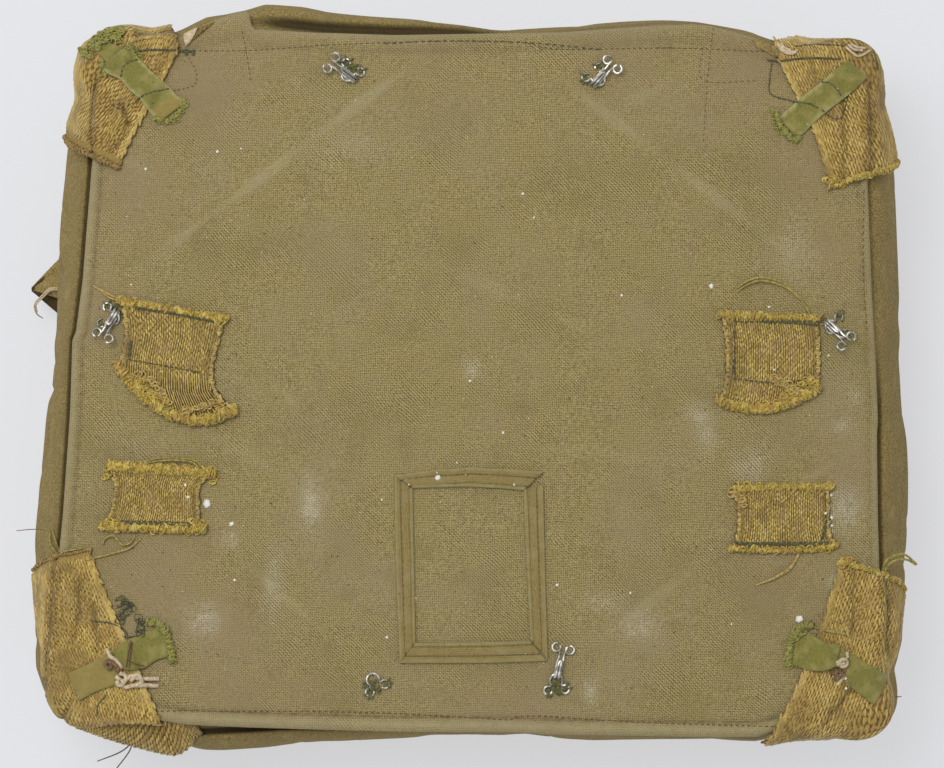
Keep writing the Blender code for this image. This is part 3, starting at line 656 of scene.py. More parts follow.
def buildBody(sizes):
    bm = bmesh.new()
    bm.from_mesh(nodes["pack_body"].data)
    bmesh.ops.remove_doubles(bm, verts=bm.verts, dist=1e-6)
    mesh = bpy.data.meshes.new("packBody")
    bm.to_mesh(mesh)
    bm.free()
    body = addItem("packBody", mesh)
    remesh = body.modifiers.new("voxels", "REMESH")
    remesh.mode = "VOXEL"
    remesh.voxel_size = sizes["voxel"] * mm
    keepResult(body)
    swell(body, sizes)
    soft = body.modifiers.new("soft", "SUBSURF")
    soft.levels = soft.render_levels = 1
    mesh = keepResult(body)
    bm = bmesh.new()
    bm.from_mesh(mesh)
    low, high = sizes["band"]
    inBand = {v: v.co.z > 0.080 and low < pastEdge(v.co.x / mm, v.co.y / mm) < high for v in bm.verts}
    edges = [e for e in bm.edges if all(inBand[v] for v in e.verts)]
    bmesh.ops.subdivide_edges(bm, edges=edges, cuts=1, use_grid_fill=True)
    bmesh.ops.triangulate(bm, faces=[f for f in bm.faces if len(f.verts) > 4])
    bm.normal_update()
    grimeAndShade = []
    ceiling = treeOf(nodes["back_panel"])
    for vertex in bm.verts:
        x, y, z = vertex.co / mm
        depth = 0.0
        if z > 60:
            depth = grooveAt(x, y) * float(smooth((z - 70) / 22))
            dent = noise.noise(Vector((x, y, z)) * 0.02) * 1.4 * float(smooth((z - 60) / 12))
            vertex.co -= vertex.normal * dent * mm * float(smooth((pastEdge(x, y) - 3) / 8))
            vertex.co.z -= depth * mm
        out = pastEdge(x, y)
        push = outwardPush(x, y) * float(smooth((out + 14) / 14) * smooth((z - 8) / 40))
        vertex.co += push * mm
        # painted shade: darker in the grooves along the panel's edge
        shade = depth * 0.2
        if z > 80 and sideOf(x, y)[0] in ("left", "near"):  # painted shade spreads out from the panel's edge on the left and near walls
            shade += 0.3 * math.exp(-((out - 1) / 4.5) ** 2)
        if 0 < z <= 84:
            low = float(smooth(z / 20) * smooth((84 - z) / 24))
            dent = noise.noise(Vector((x, y, z)) * 0.018) * 1.6
            crease = wrinkleAt(x, y, z)
            seam = wallSeamAt(x, y, z, sizes)
            vertex.co -= vertex.normal * ((dent + crease * sizes["wrinkle"]) * low + seam) * mm
            # painted shade in the wall creases and the seam furrows
            shade += crease * low * 0.16 + seam * 0.25
        grimeAndShade.append(min(0.9, shade))
    for vertex in bm.verts:  # the top stays under the panel
        if vertex.co.z > 0.09:
            hit = ceiling.ray_cast(Vector((vertex.co.x, vertex.co.y, 0)), Vector((0, 0, 1)))[0]
            if hit:
                vertex.co.z = min(vertex.co.z, hit.z - 0.4 * mm)
    bm.to_mesh(mesh)
    bm.free()
    paintPoints(mesh, "grimeAndShade", grimeAndShade)
    mesh.materials.clear()
    mesh.materials.append(wallCanvas)
    mesh.shade_smooth()
    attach(body, "root")
    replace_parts(body, "pack_body")
    print("pack body:", len(mesh.polygons), "faces")
    return body


body = buildBody(bodySizes)

# ---- back panel

panelDetail = {
    "spacing": 1.7,
    "extent": (385, 336),  # the sheet's reach across and along, which its spacing divides
    "coarse": 5.0,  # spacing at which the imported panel's own top is read
    "hem": {"left": 4.0, "right": 3.5, "far": 7.2, "near": 6.0},
    "hemStep": 0.8,
    "undulation": 0.5,
    "creases": [  # from x, y to x, y, height, half width
        (-18, 155, -153, 53, 0.6, 1.5), (32, 148, 158, 51, 0.55, 1.5), (-121, -70, -63, -122, 0.35, 1.5),
        (119, -75, 55, -125, 0.35, 1.5), (-89, 143, -63, 128, 0.35, 1.4), (113, 148, 69, 128, 0.3, 1.4),
        (183, -28, 122, -70, 0.35, 1.6), (-104, 12, -79, -16, 0.3, 1.4), (-185, 120, -150, 96, 0.3, 1.6),
        (-30, 60, 60, 20, 0.22, 2.0), (-150, -10, -60, -60, 0.25, 2.0), (20, -30, 110, -40, 0.2, 2.2),
    ],
    "faded": [  # x, y, reach, how strong
        (-128, 140, 24, 0.7), (-160, 90, 22, 0.55), (128, 146, 22, 0.6), (155, 100, 20, 0.4),
        (170, 60, 18, 0.35),
        (-150, -90, 30, 0.55), (-115, -112, 22, 0.4), (140, -95, 24, 0.4), (-100, 160, 26, 0.4),
        (70, 160, 30, 0.3),
        (-20, 160, 30, 0.3), (-100, -150, 34, 0.35), (20, -152, 30, 0.3), (-172, 30, 16, 0.4),
        (176, -40, 16, 0.4),
    ],
    "chalk": [  # x, y, reach along x and y, how strong
        (-75, -58, 5.5, 12, 1), (-124, -111, 9, 8, 0.78), (173, -60, 8, 11, 0.98), (106, -16, 7, 8, 0.65),
        (129, -40, 9, 9, 0.59), (78, -114, 10, 9, 0.59), (55, -144, 3.5, 6, 0.91), (168, -94, 3, 5, 0.91),
        (-152, 0, 12, 6, 0.45), (-92, -96, 5, 18, 0.52), (150, 60, 12, 16, 0.33), (-60, 110, 18, 9, 0.26),
        (178, -7.7, 4, 4, 0.6), (172.3, -21.4, 5, 4, 0.6), (109, -24, 5, 12, 0.6), (-112, -74, 4, 5, 0.5),
        (0, 5, 5, 5, 0.59), (62, -103, 12, 5, 0.45), (-20, -45, 14, 3, 0.39), (140, -75, 10, 10, 0.39),
    ],
}


def lineShare(x, y, crease):
    # How near a position is to a crease, from 0 to 1, fading at its ends.
    x0, y0, x1, y1, _, half = crease
    run = np.hypot(x1 - x0, y1 - y0)
    t = ((x - x0) * (x1 - x0) + (y - y0) * (y1 - y0)) / run ** 2
    away = np.abs((x - x0) * (y1 - y0) - (y - y0) * (x1 - x0)) / run
    away = away + 1.2 * np.sin(t * run / 9)  # a crease in cloth is never quite straight
    return np.exp(-(away / half) ** 2) * smooth(t * 6) * smooth((1 - t) * 6)


def noiseOver(x, y, layer, scale):
    values = [noise.noise(Vector((px, py, layer)) * scale) for px, py in zip(x.ravel(), y.ravel())]
    return np.array(values).reshape(x.shape)


def buildPanel(sizes):
    columns, rows = [int(extent / sizes["spacing"]) for extent in sizes["extent"]]
    u, v = np.meshgrid(np.linspace(-1, 1, columns), np.linspace(-1, 1, rows))
    most = np.maximum(np.abs(u), np.abs(v)) + 1e-12
    scale = most / (np.abs(u) ** 18 + np.abs(v) ** 18 + 1e-12) ** (1 / 18)
    u, v = u * scale, v * scale
    sides, ends = np.array(sorted(panelShape["sides"])), np.array(sorted(panelShape["ends"]))
    tab = np.array(panelShape["tab"])
    y = -160 + (v + 1) / 2 * 323
    left, right = np.interp(y, sides[:, 0], sides[:, 1]), np.interp(y, sides[:, 0], sides[:, 2])
    x = left + (right - left) * (u + 1) / 2
    far, near = np.interp(x, ends[:, 0], ends[:, 1]), np.interp(x, ends[:, 0], ends[:, 2])
    y = near + (far - near) * (v + 1) / 2
    y += np.interp(x, tab[:, 0], tab[:, 1]) * np.clip(v, 0, 1) ** 12
    under = treeOf(nodes["back_panel"])
    coarse = sizes["coarse"]
    gridX, gridY = np.arange(-205, 206, coarse), np.arange(-175, 181, coarse)
    heights = np.array([[topAt(px * mm, py * mm, [under], -1) for px in gridX] for py in gridY]) / mm
    inner = np.where(heights < 0, np.nan, heights)
    for _ in range(8):  # carry the edge outwards, then soften the facets
        padded = np.pad(inner, 1, constant_values=np.nan)
        around = np.stack([padded[1:-1, :-2], padded[1:-1, 2:], padded[:-2, 1:-1], padded[2:, 1:-1]])
        known = (~np.isnan(around)).sum(axis=0)
        filled = np.nansum(around, axis=0) / np.maximum(known, 1)
        inner = np.where(np.isnan(inner) & (known > 0), filled, inner)
    inner = np.where(np.isnan(inner), 100, inner)
    for _ in range(4):
        inner = (aroundSum(inner) + 4 * inner) / 8
    column = np.clip((x - gridX[0]) / coarse, 0, len(gridX) - 1.001)
    row = np.clip((y - gridY[0]) / coarse, 0, len(gridY) - 1.001)
    i, j = column.astype(int), row.astype(int)
    s, t = column - i, row - j
    top = (inner[j, i] * (1 - s) * (1 - t) + inner[j, i + 1] * s * (1 - t)
           + inner[j + 1, i] * (1 - s) * t + inner[j + 1, i + 1] * s * t)
    depth = far - near
    fromEdge = {
        "left": x - left, "right": right - x,
        "far": (1 - v) / 2 * depth, "near": (v + 1) / 2 * depth,
    }
    relief, sewn = np.zeros_like(x), np.zeros_like(x)
    for side, width in sizes["hem"].items():
        d = fromEdge[side]
        along = x if side in ("far", "near") else y
        relief = np.maximum(relief, sizes["hemStep"] * smooth((width + 0.8 - d) / 1.6))
        pucker = 0.25 * np.sin(along * 2 * np.pi / 6.5) + 0.15 * np.sin(along * 2 * np.pi / 17)
        groove = (0.8 + pucker) * np.exp(-((d - width - 0.4) / 1.1) ** 2)
        relief -= groove
        # the seam groove by each hem gets painted shade, more on the near and left sides
        sewn = np.maximum(sewn, (0.42 if side in ("near", "left") else 0.24) * groove)
    wornAndLit = np.zeros_like(x)
    for crease in sizes["creases"]:
        share = lineShare(x, y, crease)
        relief += crease[4] * share
        wornAndLit = np.maximum(wornAndLit, 0.8 * crease[4] * share)
    relief += sizes["undulation"] * (noiseOver(x, y, 3.0, 0.022) + 0.4 * noiseOver(x, y, 9.0, 0.07))
    chalk = np.zeros_like(x)
    mottle = noiseOver(x, y, 1.0, 0.35)
    for cx, cy, reachX, reachY, strong in sizes["chalk"]:
        away = ((x - cx) / reachX) ** 2 + ((y - cy) / reachY) ** 2
        chalk = np.maximum(chalk, strong * np.exp(-away * 1.4) * (1 + 1.1 * mottle))
    faded = np.zeros_like(x)
    for cx, cy, reach, strong in sizes["faded"]:
        away = ((x - cx) ** 2 + (y - cy) ** 2) / reach ** 2
        faded = np.maximum(faded, strong * np.exp(-away) * (1 + 0.5 * mottle))
    edge = np.minimum.reduce(list(fromEdge.values()))
    wornAndLit = np.maximum(wornAndLit, 0.45 * np.exp(-(edge / 1.8) ** 2))
    # the near and left hem rolls are paler: partly wear, partly a painted highlight
    wornAndLit = np.maximum(wornAndLit, 0.55 * np.exp(-((fromEdge["near"] - 3.2) / 2) ** 2) * (1 + 0.6 * mottle))
    wornAndLit = np.maximum(wornAndLit, 0.4 * np.exp(-((fromEdge["left"] - 1.8) / 1.6) ** 2) * (1 + 0.6 * mottle))
    base = np.stack([x, y, top + relief - panelShape["thickness"]], -1) * mm
    flat = np.stack([x, y], -1) * mm
    panel = solidSheet("backPanel", base, panelShape["thickness"], flat, faceCanvas,
                       soften=1.6, edgeShare=0.4, paint={"chalk": np.clip(chalk, 0, 1), "wornAndLit": wornAndLit,
                                                         "grimeAndShade": sewn,
                                             "faded": np.clip(faded, 0, 1)})
    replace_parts(panel, "back_panel")
    print("back panel:", len(panel.data.polygons), "faces")
    return panel


panel = buildPanel(panelDetail)
surfaces = {"panel": treeOf(panel), "body": treeOf(body)}


def lay(x, y, lift=0.0, over=None):
    # A plan position in millimetres, lifted off whatever lies highest there.
    trees = [surfaces[k] for k in over] if over else list(surfaces.values())
    return Vector((x * mm, y * mm, topAt(x * mm, y * mm, trees) + lift * mm))


# ---- geometry node trees for what repeats


def openTree(name, inputs):
    tree = bpy.data.node_groups.new(name, "GeometryNodeTree")
    tree.interface.new_socket("Geometry", in_out="INPUT", socket_type="NodeSocketGeometry")
    for key, (kind, value) in inputs.items():
        socket = tree.interface.new_socket(key, in_out="INPUT", socket_type="NodeSocket" + kind)
        if value is not None:
            socket.default_value = value
    tree.interface.new_socket("Geometry", in_out="OUTPUT", socket_type="NodeSocketGeometry")
    start = tree.nodes.new("NodeGroupInput")
    return tree, start.outputs


def closeTree(tree, geometry, material, seed=None):
    # A random shade on each instance, then real mesh with its material.
    if seed:
        shade = addNode(tree, "FunctionNodeRandomValue", {"Seed": seed}, data_type="FLOAT").node.outputs[1]
        geometry = addNode(tree, "GeometryNodeStoreNamedAttribute",
                           {"Geometry": geometry, "Name": "shade", "Value": shade},
                           data_type="FLOAT", domain="INSTANCE")
    geometry = addNode(tree, "GeometryNodeRealizeInstances", {"Geometry": geometry})
    geometry = addNode(tree, "GeometryNodeSetMaterial", {"Geometry": geometry, "Material": material})
    end = tree.nodes.new("NodeGroupOutput")
    tree.links.new(geometry, end.inputs[0])
    return tree


def scatterVector(tree, amount, seed, third=None):
    # A random vector between minus and plus an amount, whose third number may have a limit of its own.
    least = addNode(tree, "ShaderNodeMath", {0: amount, 1: -1.0}, operation="MULTIPLY")
    low = addNode(tree, "ShaderNodeCombineXYZ", {0: least, 1: least, 2: -third if third else least})
    high = addNode(tree, "ShaderNodeCombineXYZ", {0: amount, 1: amount, 2: third or amount})
    return addNode(tree, "FunctionNodeRandomValue", {0: low, 1: high, "Seed": seed}, data_type="FLOAT_VECTOR")


def pointsAlong(tree, given):
    # Points a pitch apart along each path, with the way the path runs there.
    path = addNode(tree, "GeometryNodeMeshToCurve", {"Mesh": given["Geometry"]})
    points = addNode(tree, "GeometryNodeCurveToPoints", {"Curve": path, "Length": given["Pitch"]},
                     mode="LENGTH")
    return points.node.outputs


def buildStitchTree():
    # Short stitches, one a pitch, along each path.
    tree, given = openTree("stitches", {
        "Pitch": ("Float", 0.0028), "Share": ("Float", 0.72), "Radius": ("Float", 0.0004),
        "Wander": ("Float", 0.08), "Seed": ("Int", 1), "Material": ("Material", None),
    })
    points = pointsAlong(tree, given)
    half = addNode(tree, "ShaderNodeMath", {0: given["Pitch"], 1: given["Share"]}, operation="MULTIPLY")
    half = addNode(tree, "ShaderNodeMath", {0: half, 1: 0.5}, operation="MULTIPLY")
    scale = addNode(tree, "ShaderNodeCombineXYZ", {0: given["Radius"], 1: given["Radius"], 2: half})
    grain = addNode(tree, "GeometryNodeMeshUVSphere", {"Segments": 6, "Rings": 4, "Radius": 1.0})
    placed = addNode(tree, "GeometryNodeInstanceOnPoints", {
        "Points": points["Points"], "Instance": grain, "Rotation": points["Rotation"], "Scale": scale,
    })
    turn = scatterVector(tree, given["Wander"], given["Seed"])
    placed = addNode(tree, "GeometryNodeRotateInstances", {"Instances": placed, "Rotation": turn})
    return closeTree(tree, placed, given["Material"], given["Seed"])


def buildWindTree():
    # Yarn wound round and round a path, as on an overcast edge: rings that lean and crowd.
    tree, given = openTree("overcasting", {
        "Roll": ("Float", 0.0020), "Yarn": ("Float", 0.00055), "Pitch": ("Float", 0.0007),
        "Lean": ("Float", 0.6),
        "Scatter": ("Float", 0.0004), "Small": ("Float", 0.65), "Large": ("Float", 1.1), "Seed": ("Int", 1),
        "Material": ("Material", None),
    })
    points = pointsAlong(tree, given)
    offset = scatterVector(tree, given["Scatter"], given["Seed"])
    moved = addNode(tree, "GeometryNodeSetPosition", {"Geometry": points["Points"], "Offset": offset})
    ring = addNode(tree, "GeometryNodeCurvePrimitiveCircle", {"Resolution": 8, "Radius": given["Roll"]})
    yarn = addNode(tree, "GeometryNodeCurvePrimitiveCircle", {"Resolution": 5, "Radius": given["Yarn"]})
    wrap = addNode(tree, "GeometryNodeCurveToMesh", {"Curve": ring, "Profile Curve": yarn})
    wrap = addNode(tree, "GeometryNodeSetShadeSmooth", {"Geometry": wrap})
    placed = addNode(tree, "GeometryNodeInstanceOnPoints",
                     {"Points": moved, "Instance": wrap, "Rotation": points["Rotation"]})
    turn = scatterVector(tree, given["Lean"], given["Seed"], third=3.1)  # to any side round the path
    placed = addNode(tree, "GeometryNodeRotateInstances", {"Instances": placed, "Rotation": turn})
    size = addNode(tree, "FunctionNodeRandomValue", {2: given["Small"], 3: given["Large"],
                                                     "Seed": given["Seed"]},
                   data_type="FLOAT").node.outputs[1]
    placed = addNode(tree, "GeometryNodeScaleInstances", {"Instances": placed, "Scale": size})
    return closeTree(tree, placed, given["Material"], given["Seed"])


def buildThreadTree():
    # Round threads along the paths, thinner where the path says so.
    tree, given = openTree("threads", {"Radius": ("Float", 0.0003), "Material": ("Material", None)})
    path = addNode(tree, "GeometryNodeMeshToCurve", {"Mesh": given["Geometry"]})
    thin = addNode(tree, "GeometryNodeInputNamedAttribute", {"Name": "thin"}, data_type="FLOAT")
    profile = addNode(tree, "GeometryNodeCurvePrimitiveCircle", {"Resolution": 6, "Radius": given["Radius"]})
    tube = addNode(tree, "GeometryNodeCurveToMesh", {
        "Curve": path, "Profile Curve": profile, "Scale": thin, "Fill Caps": True,
    })
    tube = addNode(tree, "GeometryNodeSetShadeSmooth", {"Geometry": tube})
    return closeTree(tree, tube, given["Material"])


def buildGrainTree():
    # Grains that stand on points by the directions kept there: floats of webbing, flecks and dust.
    tree, given = openTree("grains", {
        "Width": ("Float", 0.0014), "Length": ("Float", 0.003), "Height": ("Float", 0.0008),
        "Segments": ("Int", 6), "Rings": ("Int", 4), "Seed": ("Int", 1), "Material": ("Material", None),
    })
    up, along, size = [
        addNode(tree, "GeometryNodeInputNamedAttribute", {"Name": name}, data_type="FLOAT_VECTOR")
        for name in ("up", "along", "size")
    ]
    turn = addNode(tree, "FunctionNodeAxesToRotation", {0: up, 1: along}, primary_axis="Z",
                   secondary_axis="Y")
    extent = addNode(tree, "ShaderNodeCombineXYZ", {0: given["Width"], 1: given["Length"],
                                                    2: given["Height"]})
    extent = addNode(tree, "ShaderNodeVectorMath", {0: extent, 1: size}, operation="MULTIPLY")
    grain = addNode(tree, "GeometryNodeMeshUVSphere", {
        "Segments": given["Segments"], "Rings": given["Rings"], "Radius": 0.5,
    })
    grain = addNode(tree, "GeometryNodeSetShadeSmooth", {"Geometry": grain})
    placed = addNode(tree, "GeometryNodeInstanceOnPoints",
                     {"Points": given["Geometry"], "Instance": grain, "Rotation": turn, "Scale": extent})
    return closeTree(tree, placed, given["Material"], given["Seed"])


stitchTree, windTree = buildStitchTree(), buildWindTree()
threadTree, grainTree = buildThreadTree(), buildGrainTree()


def runTree(item, tree, values):
    # Sets the inputs by their identifiers, then keeps the result as a plain mesh.
    modifier = item.modifiers.new(tree.name, "NODES")
    modifier.node_group = tree
    for socket in tree.interface.items_tree:
        if socket.in_out == "INPUT" and socket.name in values:
            modifier[socket.identifier] = values[socket.name]
    keepResult(item)
    return rideAs(item)


def smoothPath(points, step=1.2):
    # A curve through the points, sampled about every step millimetres.
    points = [Vector(p) for p in points]
    if len(points) < 3:
        points.insert(1, points[0].lerp(points[-1], 0.5))
    ends = [points[0] * 2 - points[1]] + points + [points[-1] * 2 - points[-2]]
    line = []
    for a, b, c, d in zip(ends, ends[1:], ends[2:], ends[3:]):
        count = max(2, int((c - b).length / (step * mm)))
        for k in range(count):
            t = k / count
            line.append(0.5 * (2 * b + (c - a) * t + (2 * a - 5 * b + 4 * c - d) * t * t
                               + (3 * b - a - 3 * c + d) * t ** 3))
    return line + [points[-1]]


def layPath(plan, lift=0.4, step=1.2, over=None):
    # Lays plan points on what is under them: x, y and, where one is given, a lift of their own.
    line = smoothPath([Vector((*p[:2], p[2] if len(p) > 2 else 0)) * mm for p in plan], step)
    return [lay(p.x / mm, p.y / mm, lift + p.z / mm, over) for p in line]


def pathItem(name, lines, thin=None):
    # One mesh of bare edges for all the paths of a piece.
    vertices, edges, sizes = [], [], []
    for index, line in enumerate(lines):
        start = len(vertices)
        vertices += [tuple(p) for p in line]
        edges += [(start + k, start + k + 1) for k in range(len(line) - 1)]
        share = thin[index] if thin else (1.0, 1.0)
        sizes += list(np.interp(np.linspace(0, 1, len(line)), np.linspace(0, 1, len(share)), share))
    mesh = bpy.data.meshes.new(name)
    mesh.from_pydata(vertices, edges, [])
    paintPoints(mesh, "thin", sizes)
    return addItem(name, mesh)


def stitch(name, lines, material, pitch=2.8, radius=0.4, share=0.75, wander=0.08, seed=1):
    return runTree(pathItem(name, lines), stitchTree, {
        "Pitch": pitch * mm, "Share": share, "Radius": radius * mm, "Wander": wander, "Seed": seed,
        "Material": material,
    })


def wind(name, lines, material, roll, yarn, pitch, lean=0.6, scatter=0.4, small=0.65, large=1.1, seed=1):
    return runTree(pathItem(name, lines), windTree, {
        "Roll": roll * mm, "Yarn": yarn * mm, "Pitch": pitch * mm, "Lean": lean, "Scatter": scatter * mm,
        "Small": small, "Large": large, "Seed": seed, "Material": material,
    })


def thread(name, lines, material, radius, thin=None):
    return runTree(pathItem(name, lines, thin), threadTree, {"Radius": radius * mm, "Material": material})


def grains(name, places, ups, alongs, sizes, material, extent=(1, 1, 1), segments=6, rings=4, seed=1,
           soilAndShade=None):
    mesh = bpy.data.meshes.new(name)
    mesh.from_pydata([tuple(p) for p in places], [], [])
    paintPoints(mesh, "soilAndShade", np.zeros(len(places)) if soilAndShade is None else soilAndShade)
    for key, values in (("up", ups), ("along", alongs), ("size", sizes)):
        layer = mesh.attributes.new(key, "FLOAT_VECTOR", "POINT")
        layer.data.foreach_set("vector", np.asarray(values, np.float32).ravel())
    width, length, height = extent
    return runTree(addItem(name, mesh), grainTree, {
        "Width": width * mm, "Length": length * mm, "Height": height * mm, "Segments": segments,
        "Rings": rings,
        "Seed": seed, "Material": material,
    })


print("node trees: stitches, overcasting, threads and grains")

# ---- webbing: one way of weaving for straps and stubs

weave = {
    "grainWidth": 1.06,  # of a float, as a share of the column spacing
    "grainLength": 1.42,  # as a share of the float's pitch, so that it runs in under the next ones
    "uneven": 0.03,  # how far a column's floats stray from their half step
    "zigzag": 0,  # degrees by which the floats of a column lean to either side in turn
    "grainHeight": 0.95,
    "sink": 0.27,  # how far a float's middle lies below the webbing's face
    "selvage": 3.0,
    "chain": 3.1,  # pitch of the chain at each selvage
    "thickness": 1.9,
}


def readGrid(values, a, b):
    # Between the points of a grid, from 0 to 1 across and along it.
    rows, columns = values.shape[:2]
    column, row = np.clip(a, 0, 1) * (columns - 1.001), np.clip(b, 0, 1) * (rows - 1.001)
    i, j = column.astype(int), row.astype(int)
    s, t = (column - i)[:, None], (row - j)[:, None]
    return (values[j, i] * (1 - s) * (1 - t) + values[j, i + 1] * s * (1 - t)
            + values[j + 1, i] * (1 - s) * t + values[j + 1, i + 1] * s * t)


def weaveFloats(name, base, size, material, spacing, floatLength, lean, thickness, seed, ends=(0, 0),
                soilAndShade=None,
                loose=2.0, look=None):
    # Floats in columns along the webbing, each column half a float on, and a braided chain at each selvage.
    look = {**weave, **(look or {})}
    width, length = size
    normal = gridNormals(base)
    rng = np.random.default_rng(seed)
    spots, turns, sizes = [], [], []
    inner = width - 2 * weave["selvage"] * 0.8
    columns = int(inner / spacing)
    for column in range(columns):
        x = (width - inner) / 2 + (column + 0.5) * inner / columns
        shift = (column * 0.5 + rng.uniform(-1, 1) * look["uneven"]) % 1
        for row in range(int(length / floatLength) + 1):
            y = (row + shift) * floatLength
            if ends[0] < y < length - ends[1]:
                spots.append((x + rng.normal(0, 0.03), y + rng.normal(0, 0.06)))
                turns.append(lean + rng.normal(0, 1.4) + look["zigzag"] * (1 if row % 2 else -1))
                sizes.append((rng.uniform(0.9, 1.08), rng.uniform(0.92, 1.12), rng.uniform(0.8, 1.15)))
                if y > loose * length:  # here the weft is gone and the warp runs on as bare strands
                    turns[-1] = rng.normal(0, 3)
                    sizes[-1] = (0.66, 1.8, 1.2)
    for side in (0, 1):
        for strand in range(3):
            for row in range(int(length / look["chain"]) + 1):
                y = (row + strand / 3) * look["chain"]
                out = 0.7 + strand * 0.8
                x = out if side == 0 else width - out
                if ends[0] < y < length - ends[1]:
                    spots.append((x, y))
                    turns.append((13 if (strand % 2) ^ side else -13) + rng.normal(0, 4))
                    sizes.append((1.1, 1.2, 1.2))
    spots, sizes = np.array(spots), np.array(sizes)
    turns = np.radians(np.array(turns))
    a, b = spots[:, 0] / width, spots[:, 1] / length
    place = readGrid(base, a, b)
    pulled = np.linalg.norm(readGrid(base, a + 0.02, b) - readGrid(base, a - 0.02, b), axis=1)
    # the weave spreads where the webbing is stretched
    sizes[:, 0] *= np.clip(pulled / (0.04 * width * mm), 0.8, 1.3)
    pulled = np.linalg.norm(readGrid(base, a, b + 0.02) - readGrid(base, a, b - 0.02), axis=1)
    sizes[:, 1] *= np.clip(pulled / (0.04 * length * mm), 0.8, 1.3)
    up = readGrid(normal, a, b)
    up /= np.linalg.norm(up, axis=1, keepdims=True)
    ahead = readGrid(base, a, b + 0.02) - readGrid(base, a, b - 0.02)
    ahead /= np.linalg.norm(ahead, axis=1, keepdims=True) + 1e-12
    side = np.cross(ahead, up)
    along = ahead * np.cos(turns)[:, None] + side * np.sin(turns)[:, None]
    steep = 0.55 * np.clip(0.85 - up[:, 2:], 0, 0.8)  # floats stand prouder on the steep sides
    place = place + up * (thickness - look["sink"] + steep) * mm
    dirtAndShade = None if soilAndShade is None else readGrid(soilAndShade[..., None], a, b)[:, 0]
    extent = look["grainWidth"] * spacing, floatLength * look["grainLength"], look["grainHeight"]
    return grains(name, place, up, along, sizes, material, extent, seed=seed, soilAndShade=dirtAndShade)


# ---- corner straps

strapSizes = {
    "width": 44,
    "step": 1.6,  # between the points of its grid
    "spacing": 1.18,
    "float": 3.0,
    "corner": 20,  # the fold line's corner radius, and how it folds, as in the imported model
    "inset": 2,
    "bend": 5,
    "turn": 84,
    "creaseDepth": 1.5,
    "puff": 0.35,  # how far the webbing stands up beside a crease
    "straps": {
        "farLeft": {
            "node": "corner_strap_far_left", "side": -1, "length": 79, "skew": 0, "lean": 10, "bare": 4.2,
            "spacing": 1.05, "float": 2.6,
            "look": {"grainWidth": 1.05, "grainLength": 1.6, "grainHeight": 0.85, "sink": 0.33},
            "selvage": [(-164.2, 99.6), (-157.7, 113.6), (-150.2, 128.1), (-143.5, 141.1), (-137.2, 154.6),
                        (-129.8, 170.6)],
            "end": [(0, 63), (4, 67), (9, 73), (17, 79), (44, 79)],
            "creases": [[(-176.8, 101), (-177, 120), (-175, 146)], [(-164, 130), (-160, 118), (-166, 108)],
                        [(-158, 161.6), (-146, 162), (-136, 161.6)]],
        },
        "farRight": {
            "node": "corner_strap_far_right", "side": 1, "length": 79, "skew": -2, "lean": 3, "bare": 0.6,
            "selvage": [(166.9, 91), (163.4, 103), (158.4, 117.5), (151.3, 132.5), (144.3, 147),
                        (135.5, 166)],
            "end": [(0, 72), (10, 76), (20, 79), (44, 79)],
            "creases": [[(173.4, 88), (173.6, 110), (173, 137)], [(185.4, 92), (185.8, 115), (184.6, 140)]],
        },
        "nearLeft": {
            "node": "corner_strap_near_left", "side": -1, "length": 122, "skew": 5, "lean": 13, "bare": 3.6,
            "selvage": [(-177, -79), (-171.5, -94), (-164.5, -110), (-157, -127), (-149, -145.5),
                        (-140.5, -164.5),
                        (-126, -191)],
            "end": [(0, 86), (13, 81), (26, 77.5), (35, 76), (44, 77)],
            "creases": [[(-192.9, -84), (-193.5, -98.2), (-194.8, -117.6), (-196.1, -127.9),
                         (-196.7, -143.4)],
                        [(-181.6, -92), (-181.9, -107.9), (-183.5, -121)], [(-175, -104), (-172.5, -126)],
                        [(-184.5, -148), (-190, -158)]],
        },
        "nearRight": {
            "node": "corner_strap_near_right", "side": 1, "length": 94, "skew": 0, "lean": -8, "bare": 0.6,
            "selvage": [(170.8, -84.5), (165, -102), (159.5, -119), (152, -137), (144.3, -153.5),
                        (133.4, -171)],
            "creases": [[(177.6, -88), (176.6, -101.5), (176, -117)],
                        [(191.1, -92), (191.8, -107.9), (191.1, -126)],
                        [(176, -142), (169.5, -151.1), (163, -158)]],
        },
    },
}


def awayFrom(point, line):
    # Plan distance in millimetres of a point from a line of points.
    best = 1e9
    for (x0, y0), (x1, y1) in zip(line, line[1:]):
        run = (x1 - x0) ** 2 + (y1 - y0) ** 2
        t = min(max(((point[0] - x0) * (x1 - x0) + (point[1] - y0) * (y1 - y0)) / run, 0), 1)
        best = min(best, math.hypot(point[0] - x0 - t * (x1 - x0), point[1] - y0 - t * (y1 - y0)))
    return best


def wallReach(middle, outward, trees):
    reaches = [0.0]
    for shift in (-6, -3, 0, 3, 6):
        start = middle + outward * 0.1 + Vector((0, 0, shift * mm))
        for tree in trees:
            hit = tree.ray_cast(start, -outward)[0]
            if hit:
                reaches.append((hit - middle).dot(outward))
    return max(reaches)


